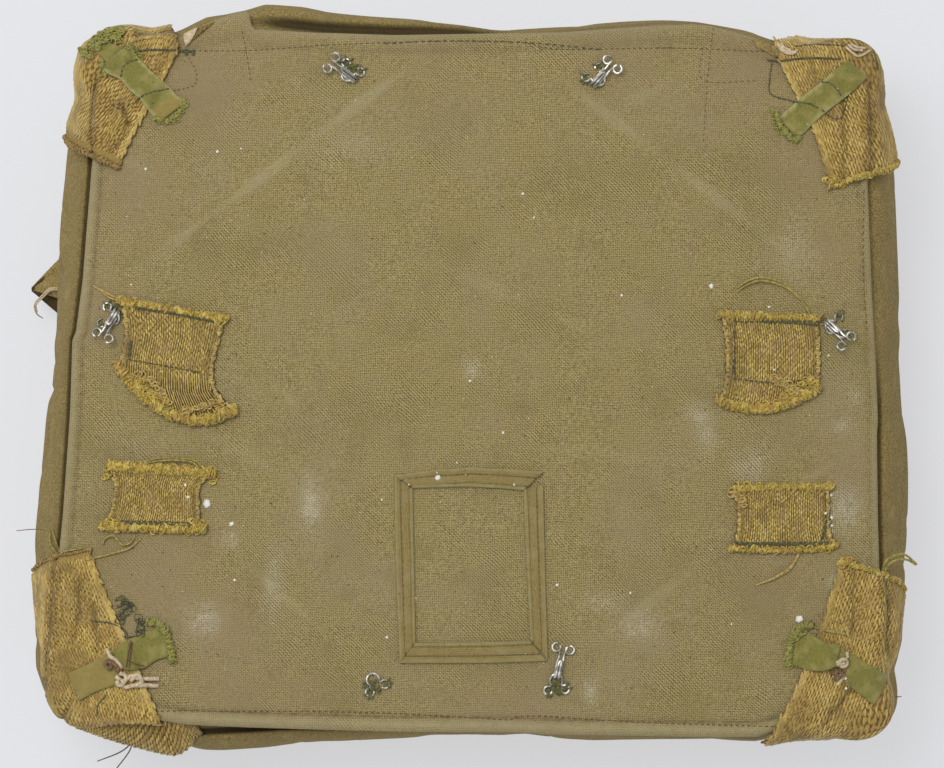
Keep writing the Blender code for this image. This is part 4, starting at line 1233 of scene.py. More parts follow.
def foldOver(x, y, sizes, trees, lift):
    # Lays flat webbing on the face and, past the face's edge, down the wall. Plan position in millimetres.
    corner = sizes["corner"]
    left = readTable(panelShape["sides"], y) + sizes["inset"]
    right = readTable(panelShape["sides"], y, 2) - sizes["inset"]
    innerX = min(max(x, left + corner), right - corner)
    far = readTable(panelShape["ends"], innerX) - sizes["inset"]
    near = readTable(panelShape["ends"], innerX, 2) + sizes["inset"]
    innerY = min(max(y, near + corner), far - corner)
    away = Vector((x - innerX, y - innerY, 0))
    past = away.length - corner
    if past <= 0:
        rise = lift + 1.2 * float(smooth(1 + past / corner))
        return Vector((x * mm, y * mm, topAt(x * mm, y * mm, trees) + rise * mm))
    outward = away.normalized()
    most = math.radians(sizes["turn"])
    turn = min(past / sizes["bend"], most)
    rest = past - turn * sizes["bend"]
    out = corner + sizes["bend"] * math.sin(turn) + rest * math.cos(most)
    drop = sizes["bend"] * (1 - math.cos(turn)) + rest * math.sin(most)
    rim = Vector((innerX, innerY, 0)) + outward * corner
    height = topAt(rim.x * mm, rim.y * mm, trees) + (lift + 1.2 - drop) * mm
    middle = Vector((innerX * mm, innerY * mm, height))
    out = max(out * mm, wallReach(middle, outward, trees) + 1.2 * mm)
    push = outwardPush(x, y).dot(outward) * float(smooth(past / 6)) * mm
    return middle + outward * max(out, corner * mm + push + 3 * mm * float(smooth(past / 6)))


def buildStrap(name, sizes, shape, seed):
    trees = [surfaces["panel"], surfaces["body"]]
    width, length = sizes["width"], shape["length"]
    selvage = smoothPath([Vector((*p, 0)) * mm for p in shape["selvage"]], 1.0)
    steps = np.cumsum([0] + [(b - a).length / mm for a, b in zip(selvage, selvage[1:])])
    line = np.array([(p.x / mm, p.y / mm) for p in selvage])
    step = sizes["step"]
    columns, rows = int(width / step) + 1, int((length + shape["skew"]) / step) + 1
    base = np.zeros((rows, columns, 3))
    flat = np.zeros((rows, columns, 2))
    for j in range(rows):
        for i in range(columns):
            w = i / (columns - 1) * width
            share = w / width
            most = readTable(shape["end"], w) if "end" in shape else length
            s = -shape["skew"] * share + (most + shape["skew"] * share) * j / (rows - 1)
            reach = max(s, 0)
            around = (max(reach - 9, 0), reach, reach + 9)
            x1, x, x2 = np.interp(around, steps, line[:, 0])
            y1, y, y2 = np.interp(around, steps, line[:, 1])
            ahead = Vector((x2 - x1, y2 - y1)).normalized()
            sideways = Vector((-ahead.y, ahead.x))
            if sideways.x * shape["side"] < 0:
                sideways = -sideways
            ripple = 0.45 * math.sin(s * 2 * math.pi / 5.2 + seed) * max(0, 1 - w / 3)
            px = x + ahead.x * min(s, 0) + sideways.x * (w + ripple)
            py = y + ahead.y * min(s, 0) + sideways.y * (w + ripple)
            base[j, i] = foldOver(px, py, sizes, trees, 0.35)
            flat[j, i] = w * mm, s * mm
    for _ in range(3):
        inner = base.copy()
        inner[1:-1, 1:-1] = (base[:-2, 1:-1] + base[2:, 1:-1] + base[1:-1, :-2] + base[1:-1, 2:]) / 4
        base = base * 0.5 + inner * 0.5
    ridge, soilAndShade = np.zeros((rows, columns)), np.zeros((rows, columns))
    for j in range(rows):
        for i in range(columns):
            w, s = flat[j, i] / mm
            ridge[j, i] = 0.5 * noise.noise(Vector((w * 0.10, s * 0.028, seed * 7.3)))
            for crease in shape["creases"]:
                gap = awayFrom(base[j, i] / mm, crease)
                ridge[j, i] += sizes["puff"] * math.exp(-((gap - 4.5) / 3) ** 2)
                ridge[j, i] -= sizes["creaseDepth"] * math.exp(-(gap / 1.3) ** 2)
                # painted shade along each crease, and a painted highlight on the puffed webbing beside it
                beside = 0.25 * math.exp(-((gap - 3.4) / 1.4) ** 2)
                soilAndShade[j, i] = max(soilAndShade[j, i], math.exp(-(gap / 1.2) ** 2) - beside)
            streak = noise.noise(Vector((w * 0.16, s * 0.05, seed * 3.1)))
            pale = 0.08 * float(smooth((-streak - 0.1) / 0.4))
            soilAndShade[j, i] += 0.4 * float(smooth((streak - 0.05) / 0.5)) - pale
    base = base + gridNormals(base) * ridge[..., None] * mm
    # painted shade wherever the webbing dips, deepest in the creases
    grimeAndShade = np.clip(-ridge * 0.75, 0, 0.8)
    fromEnd = flat[..., 1] / mm + shape["skew"] * flat[..., 0] / mm / width
    bare = np.clip((shape["bare"] - fromEnd) / 1.2, 0, 1)
    strap = solidSheet("cornerStrap" + name, base, weave["thickness"], flat, strapWebbing,
                       soften=1.4, edgeShare=0.45, paint={"grimeAndShade": grimeAndShade, "pale": bare * 0.8})
    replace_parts(strap, shape["node"])
    floats = weaveFloats("strapFloats" + name, base, (width, length), strapFloat,
                         shape.get("spacing", sizes["spacing"]), shape.get("float", sizes["float"]),
                         shape["lean"], weave["thickness"], seed, ends=(max(shape["bare"], 1.2), 1.0),
                         soilAndShade=soilAndShade,
                         look=shape.get("look"))
    surfaces["strap" + name] = treeOf(strap)
    return strap, floats, base


strapBases = {}
for number, (key, shape) in enumerate(strapSizes["straps"].items()):
    strap, floats, strapBases[key] = buildStrap(key, strapSizes, shape, 3 + number)

underLayer = {  # the strap's own end, folded back under it and down the near wall
    "top": [(-183, -155, 99.6), (-168, -156, 99.8), (-150, -156, 99.8), (-138, -156.5, 99.8),
            (-128.6, -158, 99.6)],
    "bottom": [(-184.2, -159.4, 97), (-168.8, -165.4, 91), (-155.5, -169.4, 88), (-141.3, -172.8, 87),
               (-136, -171.8, 88), (-129.4, -165.6, 93), (-126.4, -161.4, 97)],
    "width": 60,
    "length": 15,
    "grid": (40, 12),
    "spacing": 1.3,
    "float": 2.3,
    "lean": 12,
}


def buildUnderLayer(sizes):
    columns, rows = sizes["grid"]
    rims = []
    for key in ("top", "bottom"):
        line = smoothPath([Vector(p) * mm for p in sizes[key]], 0.5)
        rims.append([line[int(k / (columns - 1) * (len(line) - 1))] for k in range(columns)])
    base, flat = np.zeros((rows, columns, 3)), np.zeros((rows, columns, 2))
    for j in range(rows):
        t = j / (rows - 1)
        for i, (top, bottom) in enumerate(zip(*rims)):
            place = top.lerp(bottom, math.sin(t * math.pi / 2))
            place.z = top.z + (bottom.z - top.z) * t ** 1.6
            place.z = max(place.z, topAt(place.x, place.y, [surfaces["body"]], 0) + 0.6 * mm)
            base[j, i] = place
            flat[j, i] = i / (columns - 1) * sizes["width"] * mm, t * sizes["length"] * mm
    # the whole under layer carries painted shade, lying under the strap's fold
    sheet = solidSheet("cornerStrapUnder", base, weave["thickness"], flat, strapWebbing,
                       soften=1.4, edgeShare=0.45, paint={"grimeAndShade": np.full((rows, columns), 0.35)})
    # painted shadow deepening towards the right end
    soilAndShade = np.tile(0.18 + 0.6 * smooth((np.linspace(0, 1, columns) - 0.82) / 0.16), (rows, 1))
    floats = weaveFloats("strapFloatsUnder", base, (sizes["width"], sizes["length"]), strapFloat,
                         sizes["spacing"], sizes["float"], sizes["lean"], weave["thickness"], 9,
                         ends=(0.4, 0.6), soilAndShade=soilAndShade)


buildUnderLayer(underLayer)
print("corner straps: four, with their floats")

# ---- harness stubs

stubSizes = {
    "width": 44,
    "grid": (34, 30),  # points across and along
    "look": {"grainWidth": 0.93, "grainLength": 1.32, "grainHeight": 1.0, "zigzag": 4, "uneven": 0.2},
    "spacing": 1.05,
    "float": 1.85,
    "stubs": {
        "LeftFar": {
            "node": "harness_stub_left_far", "lean": -3, "rollTop": 2.1, "rollEnd": 2.8, "loose": 0.62,
            "rows": [(-163.5, 37, -114.5, 28, 0), (-161.5, 22, -117, 18, 0), (-163, 11.5, -120, 6, 0.5),
                     (-163.8, 9, -119, -4, 6.5), (-164.6, 6.5, -110.5, -14, 13)],
        },
        "LeftNear": {
            "node": "harness_stub_left_near", "lean": 2, "rollTop": 2.8, "rollEnd": 2.2,
            "rows": [(-168, -40, -120.5, -43, 0), (-166, -49, -126, -49.5, 0), (-167.5, -60, -126, -61, 0),
                     (-171.5, -68, -125, -69, 0)],
        },
        "RightFar": {
            "node": "harness_stub_right_far", "lean": 2, "rollTop": 1.9, "rollEnd": 2.4,
            "rows": [(115.4, 30.4, 161, 28.6, 0), (117.5, 17, 162, 16, 0), (117.5, 2, 162, 1.6, 0.5),
                     (114.8, -9.6, 160.4, -3.6, 6.4)],
        },
        "RightNear": {
            "node": "harness_stub_right_near", "lean": 1, "rollTop": 1.7, "rollEnd": 1.6,
            "rows": [(123.4, -51.2, 166, -50.2, -0.8), (122.6, -59, 166, -59, 0), (122.6, -69, 166, -69, 0),
                     (120.4, -78, 168.6, -76.6, 1.5)],
        },
    },
}


def stubPlan(rows, a, b):
    # Plan position across (0 to 1) and along (0 to 1) a stub.
    table = np.array(rows, float)
    rank = b * (len(table) - 1)
    leftX, leftY, rightX, rightY, sag = [np.interp(rank, range(len(table)), table[:, k]) for k in range(5)]
    return leftX + (rightX - leftX) * a, leftY + (rightY - leftY) * a - sag * (1 - (2 * a - 1) ** 2)


def buildStub(name, sizes, shape, seed):
    columns, rows = sizes["grid"]
    base = np.zeros((rows, columns, 3))
    flat = np.zeros((rows, columns, 2))
    table = shape["rows"]
    width, loose = sizes["width"], shape.get("loose", 2)
    length = 0.5 * (math.dist(table[0][:2], table[-1][:2]) + math.dist(table[0][2:4], table[-1][2:4]))
    for j in range(rows):
        for i in range(columns):
            a, b = i / (columns - 1), j / (rows - 1)
            x, y = stubPlan(table, a, b)
            edge = 0.4 * math.sin(b * length * 2 * math.pi / 4.8 + i)
            edge *= max(0, 1 - a * 16) - max(0, a * 16 - 15)
            lift = 0.3 + 0.35 * noise.noise(Vector((x * 0.09, y * 0.09, seed)))
            lift += 0.8 * (math.exp(-(b * length / 4) ** 2) + math.exp(-((1 - b) * length / 4) ** 2))
            base[j, i] = lay(x - edge, y, max(lift, 0.15), ["panel"])
            flat[j, i] = a * width * mm, b * length * mm
    # painted shade between the strands where the warp runs bare
    stub = solidSheet("harnessStub" + name, base, weave["thickness"], flat, stubWebbing,
                      soften=1.3, edgeShare=0.45,
                      paint={"grimeAndShade": 0.8 * smooth((flat[..., 1] / mm / length - loose) * 8)})
    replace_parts(stub, shape["node"])
    edge = np.minimum(flat[..., 0], flat[..., 0].max() - flat[..., 0]) / mm
    soilAndShade = 0.9 * np.exp(-((edge - 3.1) / 0.8) ** 2)  # shade in the groove inside each selvage
    floats = weaveFloats("stubFloats" + name, base, (width, length), stubFloat, sizes["spacing"],
                         sizes["float"], shape["lean"], weave["thickness"], seed, ends=(1.5, 1.5),
                         loose=loose, soilAndShade=soilAndShade, look=sizes["look"])
    surfaces["stub" + name] = treeOf(stub)
    ropes = []
    for a in (0.03, 0.97):
        plan = [stubPlan(table, a, b) for b in np.linspace(0.06, 0.94, 8)]
        ropes.append(layPath(plan, weave["thickness"] + 0.3, 0.8, ["panel"]))
    selvage = wind("stubSelvage" + name, ropes, stubFloat, 0.62, 0.34, 0.62, lean=0.5, scatter=0.12,
                   seed=seed)
    for end, b, roll in (("Top", 0.0, shape["rollTop"]), ("End", 1.0, shape["rollEnd"])):
        plan = []
        for k in range(13):
            a = -0.015 + 1.03 * k / 12
            x, y = stubPlan(table, a, b)
            wander = 0.5 * noise.noise(Vector((x * 0.2, seed, 1)))
            plan.append((x, y + wander, 0.4 * noise.noise(Vector((x * 0.25, 5, 1)))))
        line = layPath(plan, roll * 0.95, 0.8, ["panel"])
        core = thread("rollCore" + name + end, [line], mustardYarn, roll * 0.78)
        coil = wind("rollYarn" + name + end, [line], mustardYarn, roll * 0.95, 0.46, 0.42, lean=0.75,
                    scatter=0.5, small=0.7, large=1.12, seed=seed + (7 if end == "End" else 0))
    return stub


for number, (key, shape) in enumerate(stubSizes["stubs"].items()):
    buildStub(key, stubSizes, shape, 11 + number)
print("harness stubs: four, with overcast ends")

# ---- flat bands: keeper tapes, binding and scraps


def bandGrid(rows, spacing, lift, over, columns=None, profile=None):
    # A grid between the left and right points of each row, laid on what is under it and then eased.
    left = smoothPath([Vector((*r[0], 0)) * mm for r in rows], spacing)
    right = smoothPath([Vector((*r[1], 0)) * mm for r in rows], spacing)
    lifts = [r[2] if len(r) > 2 else 0.0 for r in rows]
    count = max(len(left), len(right))
    middle = (left[len(left) // 2], right[len(right) // 2])
    wide = max((a - b).length for a, b in ((left[0], right[0]), (left[-1], right[-1]), middle))
    columns = columns or max(5, int(wide / mm / spacing) + 1)
    base, flat = np.zeros((count, columns, 3)), np.zeros((count, columns, 2))
    rise = np.zeros((count, columns))
    for j in range(count):
        t = j / (count - 1)
        a = left[min(int(t * (len(left) - 1) + 0.5), len(left) - 1)]
        b = right[min(int(t * (len(right) - 1) + 0.5), len(right) - 1)]
        up = np.interp(t * (len(lifts) - 1), range(len(lifts)), lifts)
        for i in range(columns):
            p = a.lerp(b, i / (columns - 1))
            base[j, i] = lay(p.x / mm, p.y / mm, lift + up, over)
            flat[j, i] = (a - b).length * i / (columns - 1), 0
            rise[j, i] = profile(i / (columns - 1)) if profile else 0
    run = np.linalg.norm(np.diff(base[:, columns // 2], axis=0), axis=1)
    flat[:, :, 1] = np.concatenate([[0], np.cumsum(run)])[:, None]
    ground = base[..., 2].copy()
    for _ in range(2):
        eased = aroundSum(base[..., 2]) / 4
        base[..., 2] = np.maximum((base[..., 2] + eased) / 2, ground - 0.2 * mm)
    base[..., 2] += rise * mm
    return base, flat


def band(name, rows, material, thickness, spacing=1.1, lift=0.35, over=None, profile=None, columns=None,
         soften=0.9, tan=(1.0, 1.0), sewn=()):
    # The tan numbers say from which share of the length the dye has gone, and from which the edges are frayed
    # pale. The sewn ones say where rows of stitches run, darkened with dirt and painted shade in their dents,
    # with paler folds beside them.
    base, flat = bandGrid(rows, spacing, lift, over, columns, profile)
    b, a = np.meshgrid(np.linspace(0, 1, base.shape[1]), np.linspace(0, 1, base.shape[0]))
    ragged = np.array([noise.noise(Vector(p) * 900) for p in base.reshape(-1, 3)]).reshape(a.shape)
    edge = np.minimum(b, 1 - b) * flat[..., 0].max() / mm
    dirtAndShade = np.zeros_like(a)
    for share in sewn:
        dirtAndShade = np.maximum(dirtAndShade, 0.5 * np.exp(-((b - share) / 0.07) ** 2) * (1 + 0.5 * ragged))
    fold = (0.34 if sewn else 0) * np.exp(-(edge / 0.9) ** 2)
    paint = {
        "grimeAndShade": dirtAndShade,
        "pale": np.maximum(np.clip(1.1 - edge / 1.5 + 0.9 * ragged, 0, 0.9) * (a > tan[1]), fold),
        "tan": smooth((a - tan[0]) / 0.04) * np.clip(0.6 + 0.5 * ragged, 0, 1),
    }
    sheet = solidSheet(name, base, thickness, flat, material, soften=soften, edgeShare=0.5, paint=paint)
    return sheet, base


tapeSizes = {
    "thickness": 1.0,
    "tan": {"FarLeft": (0.8, -1), "NearLeftEnd": (-1, 1.1), "FarRight": (1.1, 0.25), "NearLeft": (1.1, 1.1)},
    "bands": {
        "FarLeftUnder": [((-179.4, 156.7), (-170.6, 158.2), 0.2), ((-172.6, 150.3), (-163.8, 155.4), 0.6),
                         ((-168, 145.1), (-158.7, 150.3), 0.4)],
        "FarLeft": [((-172.6, 146.6), (-159.2, 157), 1.2), ((-170, 143), (-156.6, 151.8), 1.8),
                    ((-163.8, 139.9), (-151.9, 146.5), 1.0), ((-159.7, 135.2), (-146.8, 141.6), 0.4),
                    ((-155, 131.1), (-140.9, 136.8), 0), ((-151.7, 126.6), (-137.9, 133.2), 0),
                    ((-147.2, 121.8), (-134.8, 130.9), 0), ((-144.4, 121.4), (-135.6, 128.2), 0)],
        "FarRight": [((175.7, 149.7), (184.5, 141.4), 0), ((168.6, 144.2), (177.9, 134.9), 0.5),
                     ((163.1, 139.4), (172.1, 130.4), 0.9), ((156.6, 134.3), (165.9, 125.5), 0.5),
                     ((150, 128.9), (159.6, 120.1), 0), ((145.1, 124.5), (154, 114.5), 0),
                     ((143.1, 122.2), (151.3, 113.4), 0)],
        "NearLeftEnd": [((-187, -136), (-181.6, -148.5), 0), ((-178, -131.8), (-172.9, -144), 0.3),
                        ((-169, -127.6), (-164.5, -140.8), 0.8), ((-163.5, -128.8), (-161.4, -135.6), 0.6)],
        "NearLeft": [((-166.8, -126), (-160.5, -134.4), 0.6), ((-163, -122.6), (-156.2, -134.4), 1.4),
                     ((-158.7, -120.3), (-151.6, -133.4), 1.0), ((-151.6, -116.9), (-146.1, -130), 0.4),
                     ((-144.6, -114.2), (-141.4, -128.6), 0.2), ((-142, -114.4), (-139.6, -129.4), 0.1)],
        "NearRightEnd": [((171.8, -124.6), (169.6, -131.5), 0.4), ((177.9, -128.1), (173.1, -137.7), 0.5),
                         ((182.4, -131.2), (175.8, -142.6), 0.2), ((193, -137.3), (186.4, -151), 0)],
        "NearRight": [((150.4, -115.4), (147.2, -132), 0.1), ((152.9, -115.6), (149.2, -132.6), 0.3),
                      ((158, -118.3), (154.6, -134.2), 0.9),
                      ((163.1, -121.6), (161.6, -134.8), 1.6), ((167.9, -122.4), (167.2, -133.2), 1.9),
                      ((171.2, -124), (170.8, -130.6), 1.5), ((172.6, -126.2), (172.6, -128.4), 1.0)],
    },
}


def tapeProfile(a):
    # Woven edges a little thicker than the middle.
    return 0.18 * (math.exp(-(a / 0.06) ** 2) + math.exp(-((1 - a) / 0.06) ** 2))


tapeNodes = {"FarLeft": "keeper_tape_far_left", "FarRight": "keeper_tape_far_right",
             "NearLeft": "keeper_tape_near_left", "NearRight": "keeper_tape_near_right"}
for key, rows in tapeSizes["bands"].items():
    tape, base = band("keeperTape" + key, rows, greenTape, tapeSizes["thickness"], lift=0.75,
                      profile=tapeProfile, tan=tapeSizes["tan"].get(key, (1.1, 1.1)))
    surfaces["tape" + key] = treeOf(tape)
    if key in tapeNodes:
        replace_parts(tape, tapeNodes[key])
print("keeper tapes:", len(tapeSizes["bands"]), "bands")

# ---- card frame

frameSizes = {
    "thickness": 1.25,
    "sides": {  # each tape strip: outer and inner points in order, and how high it starts and ends
        "left": ([(-35.9, -44.2), (-35.6, -70), (-34.6, -100), (-33.5, -131)],
                 [(-27.4, -50.6), (-27, -75), (-26.4, -100), (-26, -121.8)], 0.1),
        "bottom": ([(-33.6, -131.2), (-15, -131.2), (5, -131.2), (34.6, -130.3)],
                   [(-26.2, -121.8), (-10, -121.8), (10, -121.4), (27, -120.8)], 0.25),
        "right": ([(35.2, -129.6), (34.2, -100), (33.6, -75), (33, -48.5)],
                  [(27, -120.6), (26, -100), (24.9, -75), (23.9, -50.8)], 0.1),
        "top": ([(33.2, -42.7), (15, -41.4), (-1, -40.8), (-18, -42), (-35.8, -44.4)],
                [(24.2, -51.4), (12, -50.4), (-1, -49.7), (-14, -50), (-27.4, -50.4)], 0.45),
    },
}


def frameProfile(a):
    # Folded tape: a rounded fold at both edges and a dent under each row of stitches.
    edges = 0.45 * (math.exp(-(a / 0.12) ** 2) + math.exp(-((1 - a) / 0.10) ** 2))
    rows = 0.5 * (math.exp(-((a - 0.34) / 0.08) ** 2) + math.exp(-((a - 0.8) / 0.06) ** 2))
    return edges - rows


def joinPieces(name, pieces):
    # Puts finished pieces that are one thing into one mesh.
    bm = bmesh.new()
    for piece in pieces:
        bm.from_mesh(piece.data)
    mesh = bpy.data.meshes.new(name)
    bm.to_mesh(mesh)
    bm.free()
    for material in pieces[0].data.materials:
        mesh.materials.append(material)
    for piece in pieces:
        bpy.data.objects.remove(piece)
    return addItem(name, mesh)


def buildFrame(sizes):
    strips, lines = [], []
    for key, (outer, inner, lift) in sizes["sides"].items():
        count = 9
        rows = []
        for k in range(count):
            t = k / (count - 1)
            a = [np.interp(t * (len(outer) - 1), range(len(outer)), [p[c] for p in outer]) for c in (0, 1)]
            b = [np.interp(t * (len(inner) - 1), range(len(inner)), [p[c] for p in inner]) for c in (0, 1)]
            rows.append((tuple(a), tuple(b), 0.12 * math.sin(k * 2.3 + len(key))))
        strip, base = band("strip" + key, rows, bindingTape, sizes["thickness"], spacing=0.8,
                           lift=0.3 + lift, over=["panel"], profile=frameProfile, columns=22,
                           sewn=(0.34, 0.8))
        strips.append(strip)
        for share in (0.34, 0.8):
            top = readGrid(base, np.full(60, share), np.linspace(0.02, 0.98, 60))
            lines.append([Vector(p) + Vector((0, 0, (sizes["thickness"] - 0.05) * mm)) for p in top])
    card = joinPieces("cardFrame", strips)
    rideAs(card)
    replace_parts(card, "card_frame")
    stitches = stitch("cardFrameStitches", lines, oliveThread, pitch=2.7, radius=0.36, share=0.7, seed=5)
    surfaces["frame"] = treeOf(card)


buildFrame(frameSizes)
print("card frame: four strips, double stitched")

# ---- wire eyes and hooks, sewn down with thread

wireSizes = {
    "fatten": 0.27,
    "worked": 34,  # stitches in each patch of thread between an eye's loops
    "loopOut": 3.9,  # an eye's small loops: how far to each side of its middle line
    "loopBack": 4.3,  # and how far behind the big loop's centre
    "fastenings": {  # end of the node's name, x, y, heading of the big loop, stitches over each small loop
        "FarLeft": ("far_left", -57.9, 142.6, -124, 3), "FarRight": ("far_right", 59.0, 140.4, -52, 5),
        "Left": ("left", -167.0, 28.8, -21, 3), "Right": ("right", 167.2, 24.7, 192, 3),
        "NearMiddle": ("near_middle", 38.8, -139.2, 94, 3), "NearLeft": ("near_left", -45.8, -138.9, 118, 3),
    },
    "patches": [
        (38.9, -142.8, 3.6, 3.0), (-46.3, -142.4, 3.4, 2.6), (-164.6, 33.4, 2.6, 3.4), (-57, 145.4, 2.4, 2.2),
    ],
}


def roundWire(name, node, sizes):
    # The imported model's own wire with a rounder section.
    bm = bmesh.new()
    bm.from_mesh(node.data)
    bmesh.ops.remove_doubles(bm, verts=bm.verts, dist=1e-6)
    bmesh.ops.join_triangles(bm, faces=bm.faces, angle_face_threshold=3.1, angle_shape_threshold=3.1)
    bm.normal_update()
    for vertex in bm.verts:
        vertex.co += vertex.normal * sizes["fatten"] * mm
    mesh = bpy.data.meshes.new(name)
    bm.to_mesh(mesh)
    bm.free()
    wire = addItem(name, mesh)
    soft = wire.modifiers.new("round", "SUBSURF")
    soft.levels = soft.render_levels = 1
    mesh = keepResult(wire)
    mesh.materials.clear()
    mesh.materials.append(nickelWire)
    mesh.shade_smooth()
    return rideAs(wire)


def sewDown(x, y, heading, count, sizes, rng):
    # Stitches that start inside each small loop and go out over its wire.
    turn = math.radians(heading)
    ahead, across = Vector((math.cos(turn), math.sin(turn))), Vector((-math.sin(turn), math.cos(turn)))
    lines = []
    for side in (-1, 1):
        middle = Vector((x, y)) - ahead * sizes["loopBack"] + across * side * sizes["loopOut"]
        facing = (across * side - ahead * 0.6).normalized()
        for _ in range(count):
            way = Vector(facing)
            way.rotate(Matrix.Rotation(rng.uniform(-1.7, 1.7), 2))
            a, b = middle + way * rng.uniform(-0.3, 0.5), middle + way * rng.uniform(3.0, 3.9)
            arch = [(a, 0.15), (a.lerp(b, 0.4), 1.55), (a.lerp(b, 0.68), 1.7), (b, 0.1)]
            lines.append(layPath([(*p, up) for p, up in arch], 0.1, 0.5, ["panel"]))
    return lines


rng = np.random.default_rng(21)
sewing = []
for key, (suffix, x, y, heading, count) in wireSizes["fastenings"].items():
    for kind in ("eye", "hook"):
        node = nodes.get(kind + "_" + suffix)
        if node:
            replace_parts(roundWire(kind + key, node, wireSizes), node.name)
    sewing += sewDown(x, y, heading, count, wireSizes, rng)
for x, y, reachX, reachY in wireSizes["patches"]:  # thread worked to and fro between an eye's loops
    for _ in range(wireSizes["worked"]):
        a = Vector((x + rng.uniform(-1, 1) * reachX, y + rng.uniform(-1, 1) * reachY))
        b = a + Vector((rng.uniform(-1, 1), rng.uniform(-1, 1))).normalized() * rng.uniform(1.2, 2.2)
        plan = [(*a, 0.1), (*a.lerp(b, 0.5), rng.uniform(0.6, 1.5)), (*b, 0.1)]
        sewing.append(layPath(plan, 0.1, 0.5, ["panel"]))
thread("fasteningSewing", sewing, mossThread, 0.46)
print("wire eyes and hooks: rounded and sewn down")

# ---- flap corner

flapSizes = {
    "tip": (-216.4, 50.2, 20), "far": (-198.4, 71.5, 24), "top": (-200.5, 43, 27), "near": (-202, 26, 12),
    "thickness": 1.3, "steps": 14, "ripple": 0.8, "flat": (22, 52),
}


def buildFlap(sizes):
    roots = [Vector(sizes[key]) * mm for key in ("near", "far", "top")]
    tree, tip = surfaces["body"], Vector(sizes["tip"]) * mm
    rim = smoothPath([roots[0], roots[0].lerp(roots[1], 0.5), roots[0].lerp(roots[1], 0.985),
                      roots[2].lerp(roots[1], 0.985), roots[2].lerp(roots[1], 0.5), roots[2]], 2.0)
    rows, columns = len(rim), sizes["steps"]
    base = np.zeros((rows, columns, 3))
    for j, point in enumerate(rim):
        near, normal, _, _ = tree.find_nearest(point)
        root = near + normal * 0.5 * mm
        side = -1 if j < rows * 0.6 else 1
        for i in range(columns):
            out = i / (columns - 1)
            place = root.lerp(tip + (root - roots[1]) * 0.04, out)
            place.z += side * math.sin(math.pi * out) * 0.9 * mm
            place.z += sizes["ripple"] * mm * math.sin(out * 9 + j * 0.4) * out * (1 - out) * 2
            base[j, i] = place
    # painted shade in the fold's hollow: all through the lower layer, and on the upper layer towards its root
    low = (np.arange(rows) < rows * 0.55)[:, None]
    hollowShade = np.where(low, 0.9, 0.65 * smooth((0.4 - np.linspace(0, 1, columns)) / 0.4)[None, :])
    flat = np.zeros((rows, columns, 2))
    flat[..., 0] = np.linspace(0, sizes["flat"][0], columns)[None, :] * mm
    flat[..., 1] = np.linspace(0, sizes["flat"][1], rows)[:, None] * mm
    flap = solidSheet("flapCorner", base, sizes["thickness"], flat, wallCanvas, soften=0.8,
                      edgeShare=0.6, paint={"grimeAndShade": hollowShade})
    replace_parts(flap, "flap_corner")


buildFlap(flapSizes)
print("flap corner: folded, two layers")

# ---- sewn lines


def onWall(turn, height):
    # Just off the wall, straight out from the middle of the pack.
    start, way = Vector((0, 0, height * mm)), Vector((math.cos(turn), math.sin(turn), 0))
    hit, normal = surfaces["body"].ray_cast(start, way)[:2]
    return hit + normal * 0.1 * mm


def wallRing(height):
    # A closed line round the walls at one height.
    ring = []
    for k in range(241):
        turn = 2 * math.pi * k / 240
        ring.append(onWall(turn, height))
    return smoothPath(ring)


def cornerLine(signX, signY, offset):
    # A line down one corner of the walls, to one side of its seam.
    turn = math.atan2(signY * bodySizes["cornerSlope"], signX) + offset
    line = []
    for height in np.linspace(bodySizes["baseSeam"] + 3, 58, 16):
        line.append(onWall(turn, height))
    return smoothPath(line)


def seamLines(kind, least, most, lift=0.0, rise=0.0, step=0.8):
    # The seams of a kind whose radius is over least and up to most, laid on what is under them.
    seams = seamSizes[kind].values()
    return [layPath(plan, lift + rise * radius, step) for plan, radius in seams if least < radius <= most]


